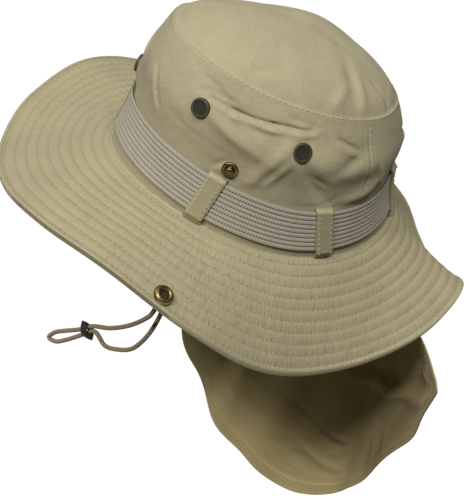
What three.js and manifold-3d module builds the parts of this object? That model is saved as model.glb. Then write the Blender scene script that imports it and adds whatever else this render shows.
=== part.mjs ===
// Flap sun hat: a soft khaki crown with a webbing band in belt loops, mesh vents and a brass stud,
// a quilted drooping brim with a snap, a neck flap sewn in at the back, and a chin cord with its toggle.
// Millimetres, +Z up, the wearer looks along -Y. The origin is the middle of the head opening.
// Azimuth is measured in degrees from the front (-Y) towards the wearer's left (+X).

import * as THREE from 'three';
import { mergeVertices } from 'three/addons/utils/BufferGeometryUtils.js';
import Module from 'manifold-3d';

const manifold = await Module();
manifold.setup();

// Driving dimensions
const headLength = 200;
const headWidth = 165;
const crownHeight = 96;
const clothWall = 1.6;
const topPuff = 21;
const brimWidth = 74;
const brimWall = 2.6;
const bandHeight = 28;
const bandWall = 1.4;
const loopWidth = 11.5;
const loopWall = 1.2;
const loopOverhang = 2.5;
const eyeletWidth = 12.5;
const eyeletWall = 1.6;
const studWidth = 10.5;
const studRise = 4;
const studLift = 9.2;
const snapWidth = 13;
const snapRise = 3;
const snapInset = 8.5;
const flapLength = 300;
const flapWall = 1.5;
const cordThickness = 3;
const toggleLength = 15;
const toggleWidth = 9;
const strandPitch = 4;
const seatGap = 0.3;
const clothGap = 0.6;
const flapGap = 1.5;

// How the crown's cloth behaves, in shares of its height: flat behind the webbing, free to crease between
// the next two, flat again at the top seam. puffPower shapes the tip panel's dome.
const backedHeight = 0.4;
const freeHeight = 0.5;
const seamedHeight = 0.94;
const puffPower = 2.6;

// How the flap's cloth behaves, in shares of its length: where its folds start and are full,
// how much of its spring is near the seam, and where it comes clear of the brim
const foldStart = 0.15;
const foldFull = 0.6;
const springLean = 0.5;
const clearOfBrim = 0.1;

// How finely the soft pieces are cut
const ringSteps = 64;
const wallSteps = 10;
const tipSteps = 6;
const brimSteps = 7;
const bandSteps = 3;
const flapAcross = 26;
const flapDown = 14;
const loopSteps = 6;
const roundSteps = 12;
const cordSteps = 66;
const loopAcross = 3;
const slotSteps = 6;
const droopSteps = 12;
const roofSteps = 25;

// The crown, a row for each azimuth. baseRise and topRise are shares of crownHeight;
// waist (at the band's upper edge), belly and top are shares of the head opening.
// bandFoot is how far the webbing lies above the opening, a share of bandHeight.
const crownTable = {
  columns: ['azimuth', 'baseRise', 'waist', 'belly', 'top', 'topRise', 'bandFoot'],
  rows: [
    [-150, 0.02, 0.9, 0.86, 0.76, 0.84, 0.2],
    [-120, -0.02, 0.92, 0.88, 0.79, 0.9, 0.2],
    [-80, -0.07, 0.94, 0.91, 0.83, 0.89, 0.25],
    [-50, -0.04, 0.935, 0.93, 0.86, 0.94, 0.28],
    [-30, 0.01, 0.935, 0.935, 0.865, 0.99, 0.3],
    [0, 0.06, 0.95, 0.935, 0.85, 1.0, 0.34],
    [30, 0.06, 0.96, 0.935, 0.83, 0.985, 0.24],
    [60, 0.0, 0.96, 0.925, 0.81, 0.93, 0.18],
    [90, -0.07, 0.95, 0.91, 0.80, 0.875, 0.18],
    [120, -0.06, 0.93, 0.89, 0.79, 0.835, 0.2],
    [150, 0.01, 0.89, 0.875, 0.775, 0.82, 0.2],
    [180, 0.06, 0.9, 0.865, 0.76, 0.81, 0.2],
  ],
};

// How the crown side runs up from the opening: the weight of each crownTable radius at a share of its height
const crownProfile = {
  columns: ['height', 'opening', 'waist', 'belly', 'top'],
  rows: [
    [0, 1, 0, 0, 0],
    [0.36, 0, 1, 0, 0],
    [0.68, 0, 0, 1, 0],
    [1, 0, 0, 0, 1],
  ],
};

// Soft dents and ridges of the crown side, pressed in (or out when negative).
// Depths are shares of crownHeight, spans are in degrees, heights and reaches are shares of the wall's height.
const crownDents = {
  columns: ['azimuth', 'height', 'span', 'reach', 'slope', 'depth'],
  rows: [
    [48, 0.86, 26, 0.05, -0.12, 0.03],
    [50, 0.72, 22, 0.07, -0.1, -0.022],
    [70, 0.62, 10, 0.14, 0.3, -0.025],
    [88, 0.6, 12, 0.1, -0.2, 0.022],
    [104, 0.76, 12, 0.08, 0.1, 0.02],
    [118, 0.5, 16, 0.12, 0.1, -0.03],
    [-8, 0.6, 10, 0.2, 0, 0.014],
    [-24, 0.52, 12, 0.14, 0, -0.03],
    [-90, 0.6, 24, 0.16, 0.1, 0.02],
    [-150, 0.62, 20, 0.14, -0.1, 0.02],
  ],
};

// The brim's droop in degrees near the crown and at its edge, a row for each azimuth
const brimTable = {
  columns: ['azimuth', 'innerDroop', 'outerDroop'],
  rows: [
    [-150, 26, 36],
    [-120, 28, 42],
    [-100, 16, 30],
    [-80, 0, 10],
    [-60, -4, 5],
    [-40, 7, 18],
    [-20, 16, 28],
    [0, 13, 26],
    [20, 4, 16],
    [40, -1, 15],
    [60, 12, 28],
    [80, 32, 50],
    [100, 44, 60],
    [120, 42, 54],
    [140, 33, 29],
    [152, 35, 15],
    [165, 44, 42],
    [180, 44, 47],
    [195, 34, 39],
  ],
};

// The neck flap, a row for each station along its seam. side, back and drop are how far the hem hangs
// from the seam there, bow is how far the cloth springs outwards on its way and sweep how far backwards:
// all are shares of flapLength.
const flapTable = {
  columns: ['azimuth', 'side', 'back', 'drop', 'bow', 'sweep'],
  rows: [
    [114, 0.146, 0.299, 0.263, 0.01, 0.085],
    [127, 0.124, 0.276, 0.41, 0.02, 0.07],
    [140, 0.109, 0.253, 0.588, 0.04, 0.05],
    [154, 0.1, 0.215, 0.788, 0.06, 0.03],
    [168, 0.1, 0.17, 0.905, 0.06, 0.01],
    [182, 0.11, 0.138, 0.985, 0.06, 0],
    [196, 0.105, 0.1, 1.02, 0.07, 0],
    [208, 0.064, 0.046, 0.99, 0.08, 0],
    [220, 0.016, 0, 0.95, 0.09, 0],
    [230, -0.017, -0.022, 0.83, 0.09, 0],
    [239, -0.05, -0.045, 0.71, 0.1, 0],
    [246, -0.09, -0.02, 0.5, 0.1, 0],
  ],
};

// Long soft folds of the flap: where along the seam they run at the top and at the hem, and how deep they are
const flapFolds = {
  columns: ['topAzimuth', 'hemAzimuth', 'span', 'depth'],
  rows: [
    [126, 134, 8, 0.012],
    [150, 146, 8, -0.016],
    [176, 170, 9, 0.018],
    [200, 204, 8, -0.014],
    [224, 226, 8, 0.016],
  ],
};

// The belt loops, which lean a little between their foot and their head
const loopTable = {
  columns: ['foot', 'head'],
  rows: [[-31, -30], [49, 53], [103, 97], [152, 150], [-152, -150], [-93, -92]],
};

// The mesh vents; height is a share of the crown side's height
const eyeletTable = {
  columns: ['azimuth', 'height'],
  rows: [[36, 0.76], [80, 0.78], [-27, 0.54], [-80, 0.72]],
};

// The one crown stud, studLift above the webbing, and the brim snap that closes on it, both on the wearer's left
const studAzimuth = 56;
const snapAzimuth = 52;

// Round fittings, from their back on the axis to their front: shares of their half width and of their rise
const eyeletProfile = {
  columns: ['radius', 'rise'],
  rows: [[0, 0], [1, 0], [1, 0.6], [0.88, 1], [0.72, 0.8], [0, 0.55]],
};
const studProfile = {
  columns: ['radius', 'rise'],
  rows: [[0, 0], [1, 0], [1, 0.2], [0.8, 0.35], [0.42, 0.4], [0.36, 0.6], [0.5, 0.8], [0.3, 1], [0, 1]],
};
const snapProfile = {
  columns: ['radius', 'rise'],
  rows: [[0, 0], [1, 0], [1, 0.35], [0.8, 1], [0.5, 0.9], [0.38, 0.35], [0, 0.35]],
};
const toggleProfile = {
  columns: ['radius', 'rise'],
  rows: [[0, -1], [0.35, -0.9], [0.85, -0.5], [1, 0], [0.85, 0.5], [0.35, 0.9], [0, 1]],
};

// The chin cord, a list chosen by hand: near side seam, out under the brim, through the toggle,
// round its end loop, back through the toggle and across under the head opening to the far side seam
const cordRoute = [
  [62.2, -56.6, 5], [63.2, -57.8, -5], [70, -64, -18], [82, -73, -38], [89, -78, -54], [88, -80, -68],
  [86, -83, -79], [82, -86, -88], [75, -91, -95], [67, -97, -99], [58.4, -102.7, -94.8], [51.9, -107.8, -103.4],
  [45, -114, -114], [38, -119, -122], [33, -122, -123], [35, -120, -117], [42, -116, -109],
  [49.8, -109.8, -100.7], [56.3, -104.7, -92], [68, -98, -83], [80, -92, -70], [92, -89, -54], [102, -90, -39],
  [98, -86, -28], [78, -76, -20], [40, -70, -18], [0, -70, -20], [-36, -66, -18], [-58, -60, -8],
  [-62, -56.4, 5],
];

// The toggle on the two strands: its middle, the way the strands run through it and the way its points stand
const togglePlace = new THREE.Vector3(54.1, -106.3, -97.7);
const toggleRun = new THREE.Vector3(-0.546, -0.425, -0.723);
const toggleStand = new THREE.Vector3(-0.527, -0.497, 0.69);

const khaki = 0xc3b791;
const khakiShade = 0xb9ad88;
const webbing = 0xbeb4a5;
const bronze = 0x463e32;
const brass = 0x917d41;
const toggleBrown = 0x322a26;

function material(colour, roughness, metalness) {
  return new THREE.MeshStandardMaterial({ color: colour, roughness, metalness });
}

// Smooth value of one column of a table at a place along its first column; round tables close on themselves
function read(table, column, place, round) {
  const key = table.columns.indexOf(column);
  let rows = table.rows;
  if (round) {
    const turn = (row, degrees) => [row[0] + degrees, ...row.slice(1)];
    rows = [...rows.map((r) => turn(r, -360)), ...rows, ...rows.map((r) => turn(r, 360))];
  }
  let i = 0;
  while (i < rows.length - 2 && place > rows[i + 1][0]) i += 1;
  const slope = (k) => {
    const a = rows[Math.max(k - 1, 0)];
    const b = rows[Math.min(k + 1, rows.length - 1)];
    return (b[key] - a[key]) / (b[0] - a[0]);
  };
  const width = rows[i + 1][0] - rows[i][0];
  const s = THREE.MathUtils.clamp((place - rows[i][0]) / width, 0, 1);
  const s2 = s * s;
  const s3 = s2 * s;
  return (2 * s3 - 3 * s2 + 1) * rows[i][key] + (s3 - 2 * s2 + s) * width * slope(i)
    + (3 * s2 - 2 * s3) * rows[i + 1][key] + (s3 - s2) * width * slope(i + 1);
}

// A smooth bump that falls to nothing one reach away
function bump(distance) {
  return Math.exp(-2 * distance * distance);
}

function turnedDegrees(from, to) {
  return ((((from - to) % 360) + 540) % 360) - 180;
}

// The head opening at an azimuth, at a share of its size
function opening(azimuth, share) {
  const a = THREE.MathUtils.degToRad(azimuth);
  return new THREE.Vector3((headWidth / 2) * share * Math.sin(a), (-headLength / 2) * share * Math.cos(a), 0);
}

function outward(azimuth) {
  const a = THREE.MathUtils.degToRad(azimuth);
  return new THREE.Vector3(Math.sin(a) / headWidth, -Math.cos(a) / headLength, 0).normalize();
}

function baseRise(azimuth) {
  return crownHeight * read(crownTable, 'baseRise', azimuth, true);
}

function topRise(azimuth) {
  return crownHeight * read(crownTable, 'topRise', azimuth, true);
}

// The crown side's outer face; a share of its height from the opening to the top seam
function crownPoint(azimuth, height) {
  const share = read(crownProfile, 'opening', height) + ['waist', 'belly', 'top'].reduce(
    (sum, name) => sum + read(crownProfile, name, height) * read(crownTable, name, azimuth, true), 0);
  const point = opening(azimuth, share);
  point.z = THREE.MathUtils.lerp(baseRise(azimuth) + seatGap, topRise(azimuth), height);
  let depth = 0;
  crownDents.rows.forEach(([at, level, span, reach, slope, deep]) => {
    const along = turnedDegrees(azimuth, at) / span;
    depth += deep * bump(along) * bump((height - level - slope * along) / reach);
  });
  const free = THREE.MathUtils.smoothstep(height, backedHeight, freeHeight)
    * (1 - THREE.MathUtils.smoothstep(height, seamedHeight, 1));
  return point.addScaledVector(outward(azimuth), -depth * crownHeight * free);
}

function bandFoot(azimuth) {
  return bandHeight * read(crownTable, 'bandFoot', azimuth, true);
}

// The height share of the crown side that lies a rise above its foot
function crownShare(azimuth, rise) {
  return rise / (topRise(azimuth) - baseRise(azimuth));
}

// The brim's upper face; a share of its width from the crown to the edge
function brimPoint(azimuth, share) {
  const inner = THREE.MathUtils.degToRad(read(brimTable, 'innerDroop', azimuth, true));
  const outer = THREE.MathUtils.degToRad(read(brimTable, 'outerDroop', azimuth, true));
  const point = opening(azimuth, 1);
  point.z = baseRise(azimuth);
  for (let i = 0; i < droopSteps; i += 1) {
    const droop = THREE.MathUtils.lerp(inner, outer, (share * (i + 0.5)) / droopSteps);
    const step = (brimWidth * share) / droopSteps;
    point.addScaledVector(outward(azimuth), step * Math.cos(droop));
    point.z -= step * Math.sin(droop);
  }
  return point;
}

function brimUnder(azimuth, share) {
  const point = brimPoint(azimuth, share);
  point.z -= brimWall;
  return point;
}

// Lowers a point that would come closer to the brim's under face than a clearance
function keptUnderBrim(point, clearance) {
  const azimuth = THREE.MathUtils.radToDeg(Math.atan2(point.x / headWidth, -point.y / headLength));
  const reach = Math.hypot(point.x, point.y);
  const over = (step) => {
    const rim = brimPoint(azimuth, step / roofSteps);
    return Math.hypot(rim.x, rim.y);
  };
  let step = 0;
  while (step < roofSteps && over(step) < reach) step += 1;
  if (step === roofSteps && reach - over(roofSteps) > brimWall) return point;
  const roof = brimUnder(azimuth, step / roofSteps).z - clearance;
  return point.setZ(Math.min(point.z, roof));
}

// The flap's upper face; along is a share of its seam, down a share of its length there
function flapPoint(along, down) {
  const rows = flapTable.rows;
  const azimuth = THREE.MathUtils.lerp(rows[0][0], rows[rows.length - 1][0], along);
  const seam = opening(azimuth, 1).addScaledVector(outward(azimuth), -seatGap);
  seam.z = baseRise(azimuth) - brimWall - seatGap - flapWall;
  const hang = new THREE.Vector3(read(flapTable, 'side', azimuth), read(flapTable, 'back', azimuth),
    -read(flapTable, 'drop', azimuth)).multiplyScalar(flapLength);
  const spring = flapLength * 4 * down * (1 - down) * (1 - springLean * down);
  const point = seam.addScaledVector(hang, down);
  point.addScaledVector(outward(azimuth), spring * read(flapTable, 'bow', azimuth));
  point.y += spring * read(flapTable, 'sweep', azimuth);
  let depth = 0;
  flapFolds.rows.forEach(([top, hem, span, deep]) => {
    depth += deep * bump((azimuth - THREE.MathUtils.lerp(top, hem, down)) / span);
  });
  point.addScaledVector(outward(azimuth), depth * flapLength * THREE.MathUtils.smoothstep(down, foldStart, foldFull));
  return keptUnderBrim(point, flapWall + flapGap * THREE.MathUtils.smoothstep(down, 0, clearOfBrim) + seatGap);
}

// A closed body from a list of corner points and faces
function solid(corners, faces) {
  const geometry = new THREE.BufferGeometry();
  geometry.setAttribute('position', new THREE.Float32BufferAttribute(corners.flatMap((c) => c.toArray()), 3));
  geometry.setIndex(faces.flat());
  geometry.computeVertexNormals();
  return geometry;
}

// A closed wall between an outer and an inner face, both given at (u, v) from 0 to 1.
// A ring closes on itself along u, and a sheet has an edge there.
function wall(outer, inner, acrossSteps, downSteps, ring) {
  const columns = ring ? acrossSteps : acrossSteps + 1;
  const corners = [];
  [outer, inner].forEach((face) => {
    for (let j = 0; j <= downSteps; j += 1) {
      for (let i = 0; i < columns; i += 1) corners.push(face(i / acrossSteps, j / downSteps));
    }
  });
  const faces = [];
  const at = (side, i, j) => side * columns * (downSteps + 1) + j * columns + (i % columns);
  const quad = (a, b, c, d) => faces.push([a, b, c], [a, c, d]);
  for (let i = 0; i < acrossSteps; i += 1) {
    for (let j = 0; j < downSteps; j += 1) {
      quad(at(0, i, j), at(0, i + 1, j), at(0, i + 1, j + 1), at(0, i, j + 1));
      quad(at(1, i, j), at(1, i, j + 1), at(1, i + 1, j + 1), at(1, i + 1, j));
    }
    quad(at(1, i, 0), at(1, i + 1, 0), at(0, i + 1, 0), at(0, i, 0));
    quad(at(0, i, downSteps), at(0, i + 1, downSteps), at(1, i + 1, downSteps), at(1, i, downSteps));
  }
  if (!ring) {
    for (let j = 0; j < downSteps; j += 1) {
      quad(at(0, 0, j), at(0, 0, j + 1), at(1, 0, j + 1), at(1, 0, j));
      quad(at(0, acrossSteps, j + 1), at(0, acrossSteps, j), at(1, acrossSteps, j), at(1, acrossSteps, j + 1));
    }
  }
  return solid(corners, faces);
}

function azimuthOf(u) {
  return u * 360 - 180;
}

function crownSideGeometry() {
  const inner = (u, v) => crownPoint(azimuthOf(u), v).addScaledVector(outward(azimuthOf(u)), -clothWall);
  return wall((u, v) => crownPoint(azimuthOf(u), v), inner, ringSteps, wallSteps, true);
}

// The tip panel: rings that shrink from the top seam to the middle, puffed upwards
function crownTopGeometry() {
  const rim = [];
  const middle = new THREE.Vector3();
  for (let i = 0; i < ringSteps; i += 1) {
    rim.push(crownPoint(azimuthOf(i / ringSteps), 1));
    middle.addScaledVector(rim[i], 1 / ringSteps);
  }
  const corners = [];
  [clothWall, 0].forEach((rise) => {
    for (let j = 0; j < tipSteps; j += 1) {
      const share = 1 - j / tipSteps;
      rim.forEach((point) => {
        const corner = middle.clone().lerp(point, share);
        corner.z += seatGap + rise + topPuff * (1 - share ** puffPower);
        corners.push(corner);
      });
    }
  });
  [clothWall, 0].forEach((rise) => {
    corners.push(middle.clone().setZ(middle.z + seatGap + rise + topPuff));
  });
  const faces = [];
  const at = (side, i, j) => side * ringSteps * tipSteps + j * ringSteps + (i % ringSteps);
  const tip = corners.length - 2;
  const last = tipSteps - 1;
  for (let i = 0; i < ringSteps; i += 1) {
    for (let j = 0; j < last; j += 1) {
      faces.push([at(0, i, j), at(0, i + 1, j), at(0, i + 1, j + 1)], [at(0, i, j), at(0, i + 1, j + 1), at(0, i, j + 1)]);
      faces.push([at(1, i, j), at(1, i + 1, j + 1), at(1, i + 1, j)], [at(1, i, j), at(1, i, j + 1), at(1, i + 1, j + 1)]);
    }
    faces.push([at(0, i, last), at(0, i + 1, last), tip], [at(1, i + 1, last), at(1, i, last), tip + 1]);
    faces.push([at(1, i, 0), at(1, i + 1, 0), at(0, i + 1, 0)], [at(1, i, 0), at(0, i + 1, 0), at(0, i, 0)]);
  }
  return solid(corners, faces);
}

function brimGeometry() {
  return wall((u, v) => brimUnder(azimuthOf(u), v), (u, v) => brimPoint(azimuthOf(u), v), ringSteps, brimSteps, true);
}

// The webbing lies round the crown's foot, so its faces follow the crown side with a gap
function bandFace(offset) {
  return (u, v) => {
    const azimuth = azimuthOf(u);
    const rise = bandFoot(azimuth) + bandHeight * v;
    const point = crownPoint(azimuth, crownShare(azimuth, rise));
    point.z = baseRise(azimuth) + rise;
    return point.addScaledVector(outward(azimuth), offset);
  };
}

function bandGeometry() {
  return wall(bandFace(clothGap + bandWall), bandFace(clothGap), ringSteps, bandSteps, true);
}

// A belt loop: a strap over the band whose ends turn in to the crown side above it and below it
function loopGeometry([foot, head]) {
  const span = THREE.MathUtils.radToDeg(loopWidth / ((headLength + headWidth) / 4));
  const face = (extra) => (u, v) => {
    const azimuth = THREE.MathUtils.lerp(foot, head, v) + (u - 0.5) * span;
    const low = bandFoot(azimuth) - clothGap;
    const high = bandFoot(azimuth) + bandHeight + clothGap;
    const step = Math.round(v * loopSteps);
    const ends = { 0: clothGap, [loopSteps]: high + loopOverhang };
    const rise = ends[step] ?? THREE.MathUtils.lerp(low, high, (step - 1) / (loopSteps - 2));
    const clear = step in ends ? clothGap : clothGap * 2 + bandWall;
    const point = crownPoint(azimuth, crownShare(azimuth, rise));
    point.z = baseRise(azimuth) + rise;
    return point.addScaledVector(outward(azimuth), clear + extra);
  };
  return wall(face(loopWall), face(0), loopAcross, loopSteps, false);
}

// Turns a part made along +Z so that it points along a direction and stands at a place
function seat(mesh, place, direction) {
  mesh.position.copy(place);
  mesh.quaternion.setFromUnitVectors(new THREE.Vector3(0, 0, 1), direction);
  return mesh;
}

// The outward direction of a face given by its point at (azimuth, share)
function facing(face, azimuth, share) {
  const step = 0.02;
  const across = face(azimuth + 1, share).sub(face(azimuth - 1, share));
  const up = face(azimuth, share + step).sub(face(azimuth, share - step));
  return across.cross(up).normalize();
}

function named(name, geometry, look) {
  const mesh = new THREE.Mesh(geometry, look);
  mesh.name = name;
  return mesh;
}

// A round fitting from its profile, a width and a rise; the profile starts and ends on the axis
function turned(profile, width, rise) {
  const points = profile.rows.map(([r, z]) => new THREE.Vector2((r * width) / 2, z * rise));
  return new THREE.LatheGeometry(points, roundSteps).rotateX(Math.PI / 2);
}

function onCrown(name, geometry, azimuth, height, look) {
  const direction = facing(crownPoint, azimuth, height);
  const place = crownPoint(azimuth, height).addScaledVector(direction, fittingGap(crownPoint, azimuth, height, geometry));
  return seat(named(name, geometry, look), place, direction);
}

function onBrim(name, geometry, azimuth, share, look) {
  const direction = facing(brimPoint, azimuth, share).negate();
  const place = brimPoint(azimuth, share);
  const gap = fittingGap(brimPoint, azimuth, share, geometry);
  return seat(named(name, geometry, look), place.addScaledVector(direction, gap), direction);
}

// How far a flat-backed fitting stands off a curved face so that its rim only just clears it
function fittingGap(face, azimuth, share, geometry) {
  geometry.computeBoundingBox();
  const radius = geometry.boundingBox.max.x;
  const centre = face(azimuth, share);
  let direction = facing(face, azimuth, share);
  if (face === brimPoint) direction = direction.negate();
  const span = radius / centre.distanceTo(face(azimuth + 1, share));
  const length = radius / (centre.distanceTo(face(azimuth, share + 0.01)) / 0.01);
  let rise = 0;
  for (let i = 0; i < roundSteps; i += 1) {
    const a = (i / roundSteps) * Math.PI * 2;
    const near = face(azimuth + span * Math.cos(a), share + length * Math.sin(a));
    rise = Math.max(rise, near.sub(centre).dot(direction));
  }
  return rise + seatGap;
}

// The cord: an eight-sided tube along its route
function cordGeometry() {
  const curve = new THREE.CatmullRomCurve3(cordRoute.map((p) => new THREE.Vector3(...p)), false, 'centripetal');
  const section = new THREE.Shape();
  section.absarc(0, 0, cordThickness / 2, 0, Math.PI * 2, false);
  return new THREE.ExtrudeGeometry(section, { steps: cordSteps, curveSegments: 4, extrudePath: curve });
}

// A solid for cutting, from a closed geometry
function cuttable(geometry) {
  const bare = geometry.clone();
  bare.deleteAttribute('normal');
  bare.deleteAttribute('uv');
  const merged = mergeVertices(bare);
  return new manifold.Manifold(new manifold.Mesh({
    numProp: 3,
    vertProperties: Float32Array.from(merged.attributes.position.array),
    triVerts: Uint32Array.from(merged.index.array),
  }));
}

function meshed(cut) {
  const { vertProperties, triVerts } = cut.getMesh();
  const geometry = new THREE.BufferGeometry();
  geometry.setAttribute('position', new THREE.BufferAttribute(vertProperties, 3));
  geometry.setIndex(new THREE.BufferAttribute(triVerts, 1));
  geometry.computeVertexNormals();
  return geometry;
}

// The toggle: a spindle with a slot through it for the two strands, points up and strands along X
function toggleGeometry() {
  const body = turned(toggleProfile, toggleWidth, toggleLength / 2);
  const half = cordThickness / 2 + seatGap;
  const slot = new THREE.Shape();
  slot.absarc(0, strandPitch / 2, half, 0, Math.PI, false);
  slot.absarc(0, -strandPitch / 2, half, Math.PI, Math.PI * 2, false);
  slot.closePath();
  const cutter = new THREE.ExtrudeGeometry(slot, { depth: toggleWidth * 2, bevelEnabled: false, curveSegments: slotSteps });
  cutter.translate(0, 0, -toggleWidth).rotateX(Math.PI / 2).rotateZ(Math.PI / 2);
  return meshed(cuttable(body).subtract(cuttable(cutter)));
}

function toggleMesh() {
  const mesh = named('cord_toggle', toggleGeometry(), material(toggleBrown, 0.5, 0));
  const side = new THREE.Vector3().crossVectors(toggleStand, toggleRun);
  mesh.applyMatrix4(new THREE.Matrix4().makeBasis(toggleRun, side, toggleStand).setPosition(togglePlace));
  return mesh;
}

// The flap's cloth lies flat at its seam under the brim and is as thick as its wall everywhere
function flapGeometry() {
  const step = 0.01;
  const inner = (u, v) => {
    const point = flapPoint(u, v);
    if (v === 0) return point.setZ(point.z + flapWall);
    const across = flapPoint(u + step, v).sub(flapPoint(u - step, v));
    const down = flapPoint(u, v + step).sub(flapPoint(u, v - step));
    return point.addScaledVector(across.cross(down).normalize(), flapWall);
  };
  return wall(inner, flapPoint, flapAcross, flapDown, false);
}

function buildHat() {
  const hat = new THREE.Group();
  const cloth = () => material(khaki, 0.9, 0);
  hat.add(named('crown_side', crownSideGeometry(), cloth()));
  hat.add(named('crown_top', crownTopGeometry(), cloth()));
  hat.add(named('brim', brimGeometry(), cloth()));
  hat.add(named('hat_band', bandGeometry(), material(webbing, 0.95, 0)));
  loopTable.rows.forEach((row, i) => {
    hat.add(named(`belt_loop_${i + 1}`, loopGeometry(row), material(khakiShade, 0.9, 0)));
  });
  eyeletTable.rows.forEach(([azimuth, height], i) => {
    const vent = turned(eyeletProfile, eyeletWidth, eyeletWall);
    hat.add(onCrown(`eyelet_${i + 1}`, vent, azimuth, height, material(bronze, 0.5, 0.7)));
  });
  const stud = turned(studProfile, studWidth, studRise);
  const studHeight = crownShare(studAzimuth, bandFoot(studAzimuth) + bandHeight + studLift);
  hat.add(onCrown('crown_stud', stud, studAzimuth, studHeight, material(brass, 0.4, 0.9)));
  const snap = turned(snapProfile, snapWidth, snapRise);
  hat.add(onBrim('brim_snap', snap, snapAzimuth, 1 - snapInset / brimWidth, material(brass, 0.4, 0.9)));
  hat.add(named('neck_flap', flapGeometry(), cloth()));
  hat.add(named('chin_cord', cordGeometry(), material(khakiShade, 0.9, 0)));
  hat.add(toggleMesh());
  return hat;
}

export default buildHat();
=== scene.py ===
"""Flap sun hat: a soft khaki crown with a webbing band in belt loops, mesh vents, a quilted brim,
a neck flap sewn in at the back and a chin cord with its toggle, dressed over its CAD model.

Metres, +Z up along the crown, the wearer looks along -Y and +X is the wearer's left.
Azimuth is measured in degrees from the front (-Y) towards the wearer's left (+X).
"""

import math

import bpy
import numpy as np
from bpy.props import FloatProperty, FloatVectorProperty, IntProperty, PointerProperty
from mathutils import Matrix, Vector


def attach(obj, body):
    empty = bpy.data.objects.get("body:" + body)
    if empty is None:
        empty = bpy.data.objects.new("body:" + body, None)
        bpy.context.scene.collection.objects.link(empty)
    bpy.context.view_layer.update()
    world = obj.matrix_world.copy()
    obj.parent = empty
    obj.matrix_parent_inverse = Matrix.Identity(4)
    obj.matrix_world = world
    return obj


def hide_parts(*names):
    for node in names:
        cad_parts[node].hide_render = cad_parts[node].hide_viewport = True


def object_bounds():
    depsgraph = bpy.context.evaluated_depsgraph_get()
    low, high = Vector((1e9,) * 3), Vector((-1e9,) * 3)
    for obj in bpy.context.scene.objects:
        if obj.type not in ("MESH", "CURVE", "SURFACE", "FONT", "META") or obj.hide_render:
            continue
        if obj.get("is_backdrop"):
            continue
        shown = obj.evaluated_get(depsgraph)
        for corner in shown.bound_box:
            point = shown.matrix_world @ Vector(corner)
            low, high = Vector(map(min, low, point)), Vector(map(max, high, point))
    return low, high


bl_info = {
    "name": "Flap sun hat",
    "version": (1, 0, 0),
    "blender": (4, 5, 0),
    "location": "3D View > Sidebar > Sun hat",
    "description": "Dresses a flap sun hat in cotton, webbing, brass and cord",
    "category": "Add Mesh",
}

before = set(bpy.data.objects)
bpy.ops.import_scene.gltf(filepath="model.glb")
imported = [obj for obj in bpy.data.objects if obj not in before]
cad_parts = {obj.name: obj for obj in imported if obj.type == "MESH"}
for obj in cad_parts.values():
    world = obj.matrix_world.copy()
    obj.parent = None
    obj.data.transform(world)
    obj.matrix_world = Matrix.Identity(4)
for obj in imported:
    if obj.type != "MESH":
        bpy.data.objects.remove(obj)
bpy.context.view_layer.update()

MM = 0.001


class Table:
    """Rows over a first column, read smoothly between them; a round table closes on itself."""

    def __init__(self, columns, rows, round_turn=False):
        rows = np.array(rows, float)
        if round_turn:
            turn = np.zeros_like(rows)
            turn[:, 0] = 360
            rows = np.concatenate([rows - turn, rows, rows + turn])
        self.at = rows[:, 0]
        self.columns = {name: rows[:, k] for k, name in enumerate(columns)}

    def read(self, column, place):
        value = self.columns[column]
        place = np.asarray(place, float)
        before = np.maximum(np.arange(len(value)) - 1, 0)
        after = np.minimum(np.arange(len(value)) + 1, len(value) - 1)
        slope = (value[after] - value[before]) / (self.at[after] - self.at[before])
        i = np.clip(np.searchsorted(self.at, place, side="left") - 1, 0, len(value) - 2)
        width = self.at[i + 1] - self.at[i]
        s = np.clip((place - self.at[i]) / width, 0, 1)
        rise = 3 * s**2 - 2 * s**3
        return (
            (1 - rise) * value[i]
            + rise * value[i + 1]
            + (s**3 - 2 * s**2 + s) * width * slope[i]
            + (s**3 - s**2) * width * slope[i + 1]
        )


crown_table = Table(
    ("azimuth", "base_rise", "waist", "belly", "top", "top_rise", "band_foot"),
    [
        (-150, 0.02, 0.9, 0.86, 0.76, 0.84, 0.2),
        (-120, -0.02, 0.92, 0.88, 0.79, 0.9, 0.2),
        (-80, -0.07, 0.94, 0.91, 0.83, 0.89, 0.25),
        (-50, -0.04, 0.935, 0.93, 0.86, 0.94, 0.28),
        (-30, 0.01, 0.935, 0.935, 0.865, 0.99, 0.3),
        (0, 0.06, 0.95, 0.935, 0.85, 1.0, 0.34),
        (30, 0.06, 0.96, 0.935, 0.83, 0.985, 0.24),
        (60, 0.0, 0.96, 0.925, 0.81, 0.93, 0.18),
        (90, -0.07, 0.95, 0.91, 0.80, 0.875, 0.18),
        (120, -0.06, 0.93, 0.89, 0.79, 0.835, 0.2),
        (150, 0.01, 0.89, 0.875, 0.775, 0.82, 0.2),
        (180, 0.06, 0.9, 0.865, 0.76, 0.81, 0.2),
    ],
    round_turn=True,
)
crown_profile = Table(
    ("height", "opening", "waist", "belly", "top"),
    [(0, 1, 0, 0, 0), (0.36, 0, 1, 0, 0), (0.68, 0, 0, 1, 0), (1, 0, 0, 0, 1)],
)
# Soft dents of the crown side: depth is a share of the crown's height, span is in degrees
crown_dents = (
    # azimuth, height, span, reach, slope, depth
    (48, 0.86, 26, 0.05, -0.12, 0.012),
    (50, 0.72, 22, 0.07, -0.1, -0.022),
    (70, 0.62, 10, 0.14, 0.3, -0.025),
    (88, 0.6, 12, 0.1, -0.2, 0.022),
    (104, 0.76, 12, 0.08, 0.1, 0.02),
    (118, 0.5, 16, 0.12, 0.1, -0.03),
    (-8, 0.6, 10, 0.2, 0, 0.014),
    (-24, 0.52, 12, 0.14, 0, -0.03),
    (-90, 0.6, 24, 0.16, 0.1, 0.02),
    (-150, 0.62, 20, 0.14, -0.1, 0.02),
)
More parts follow.
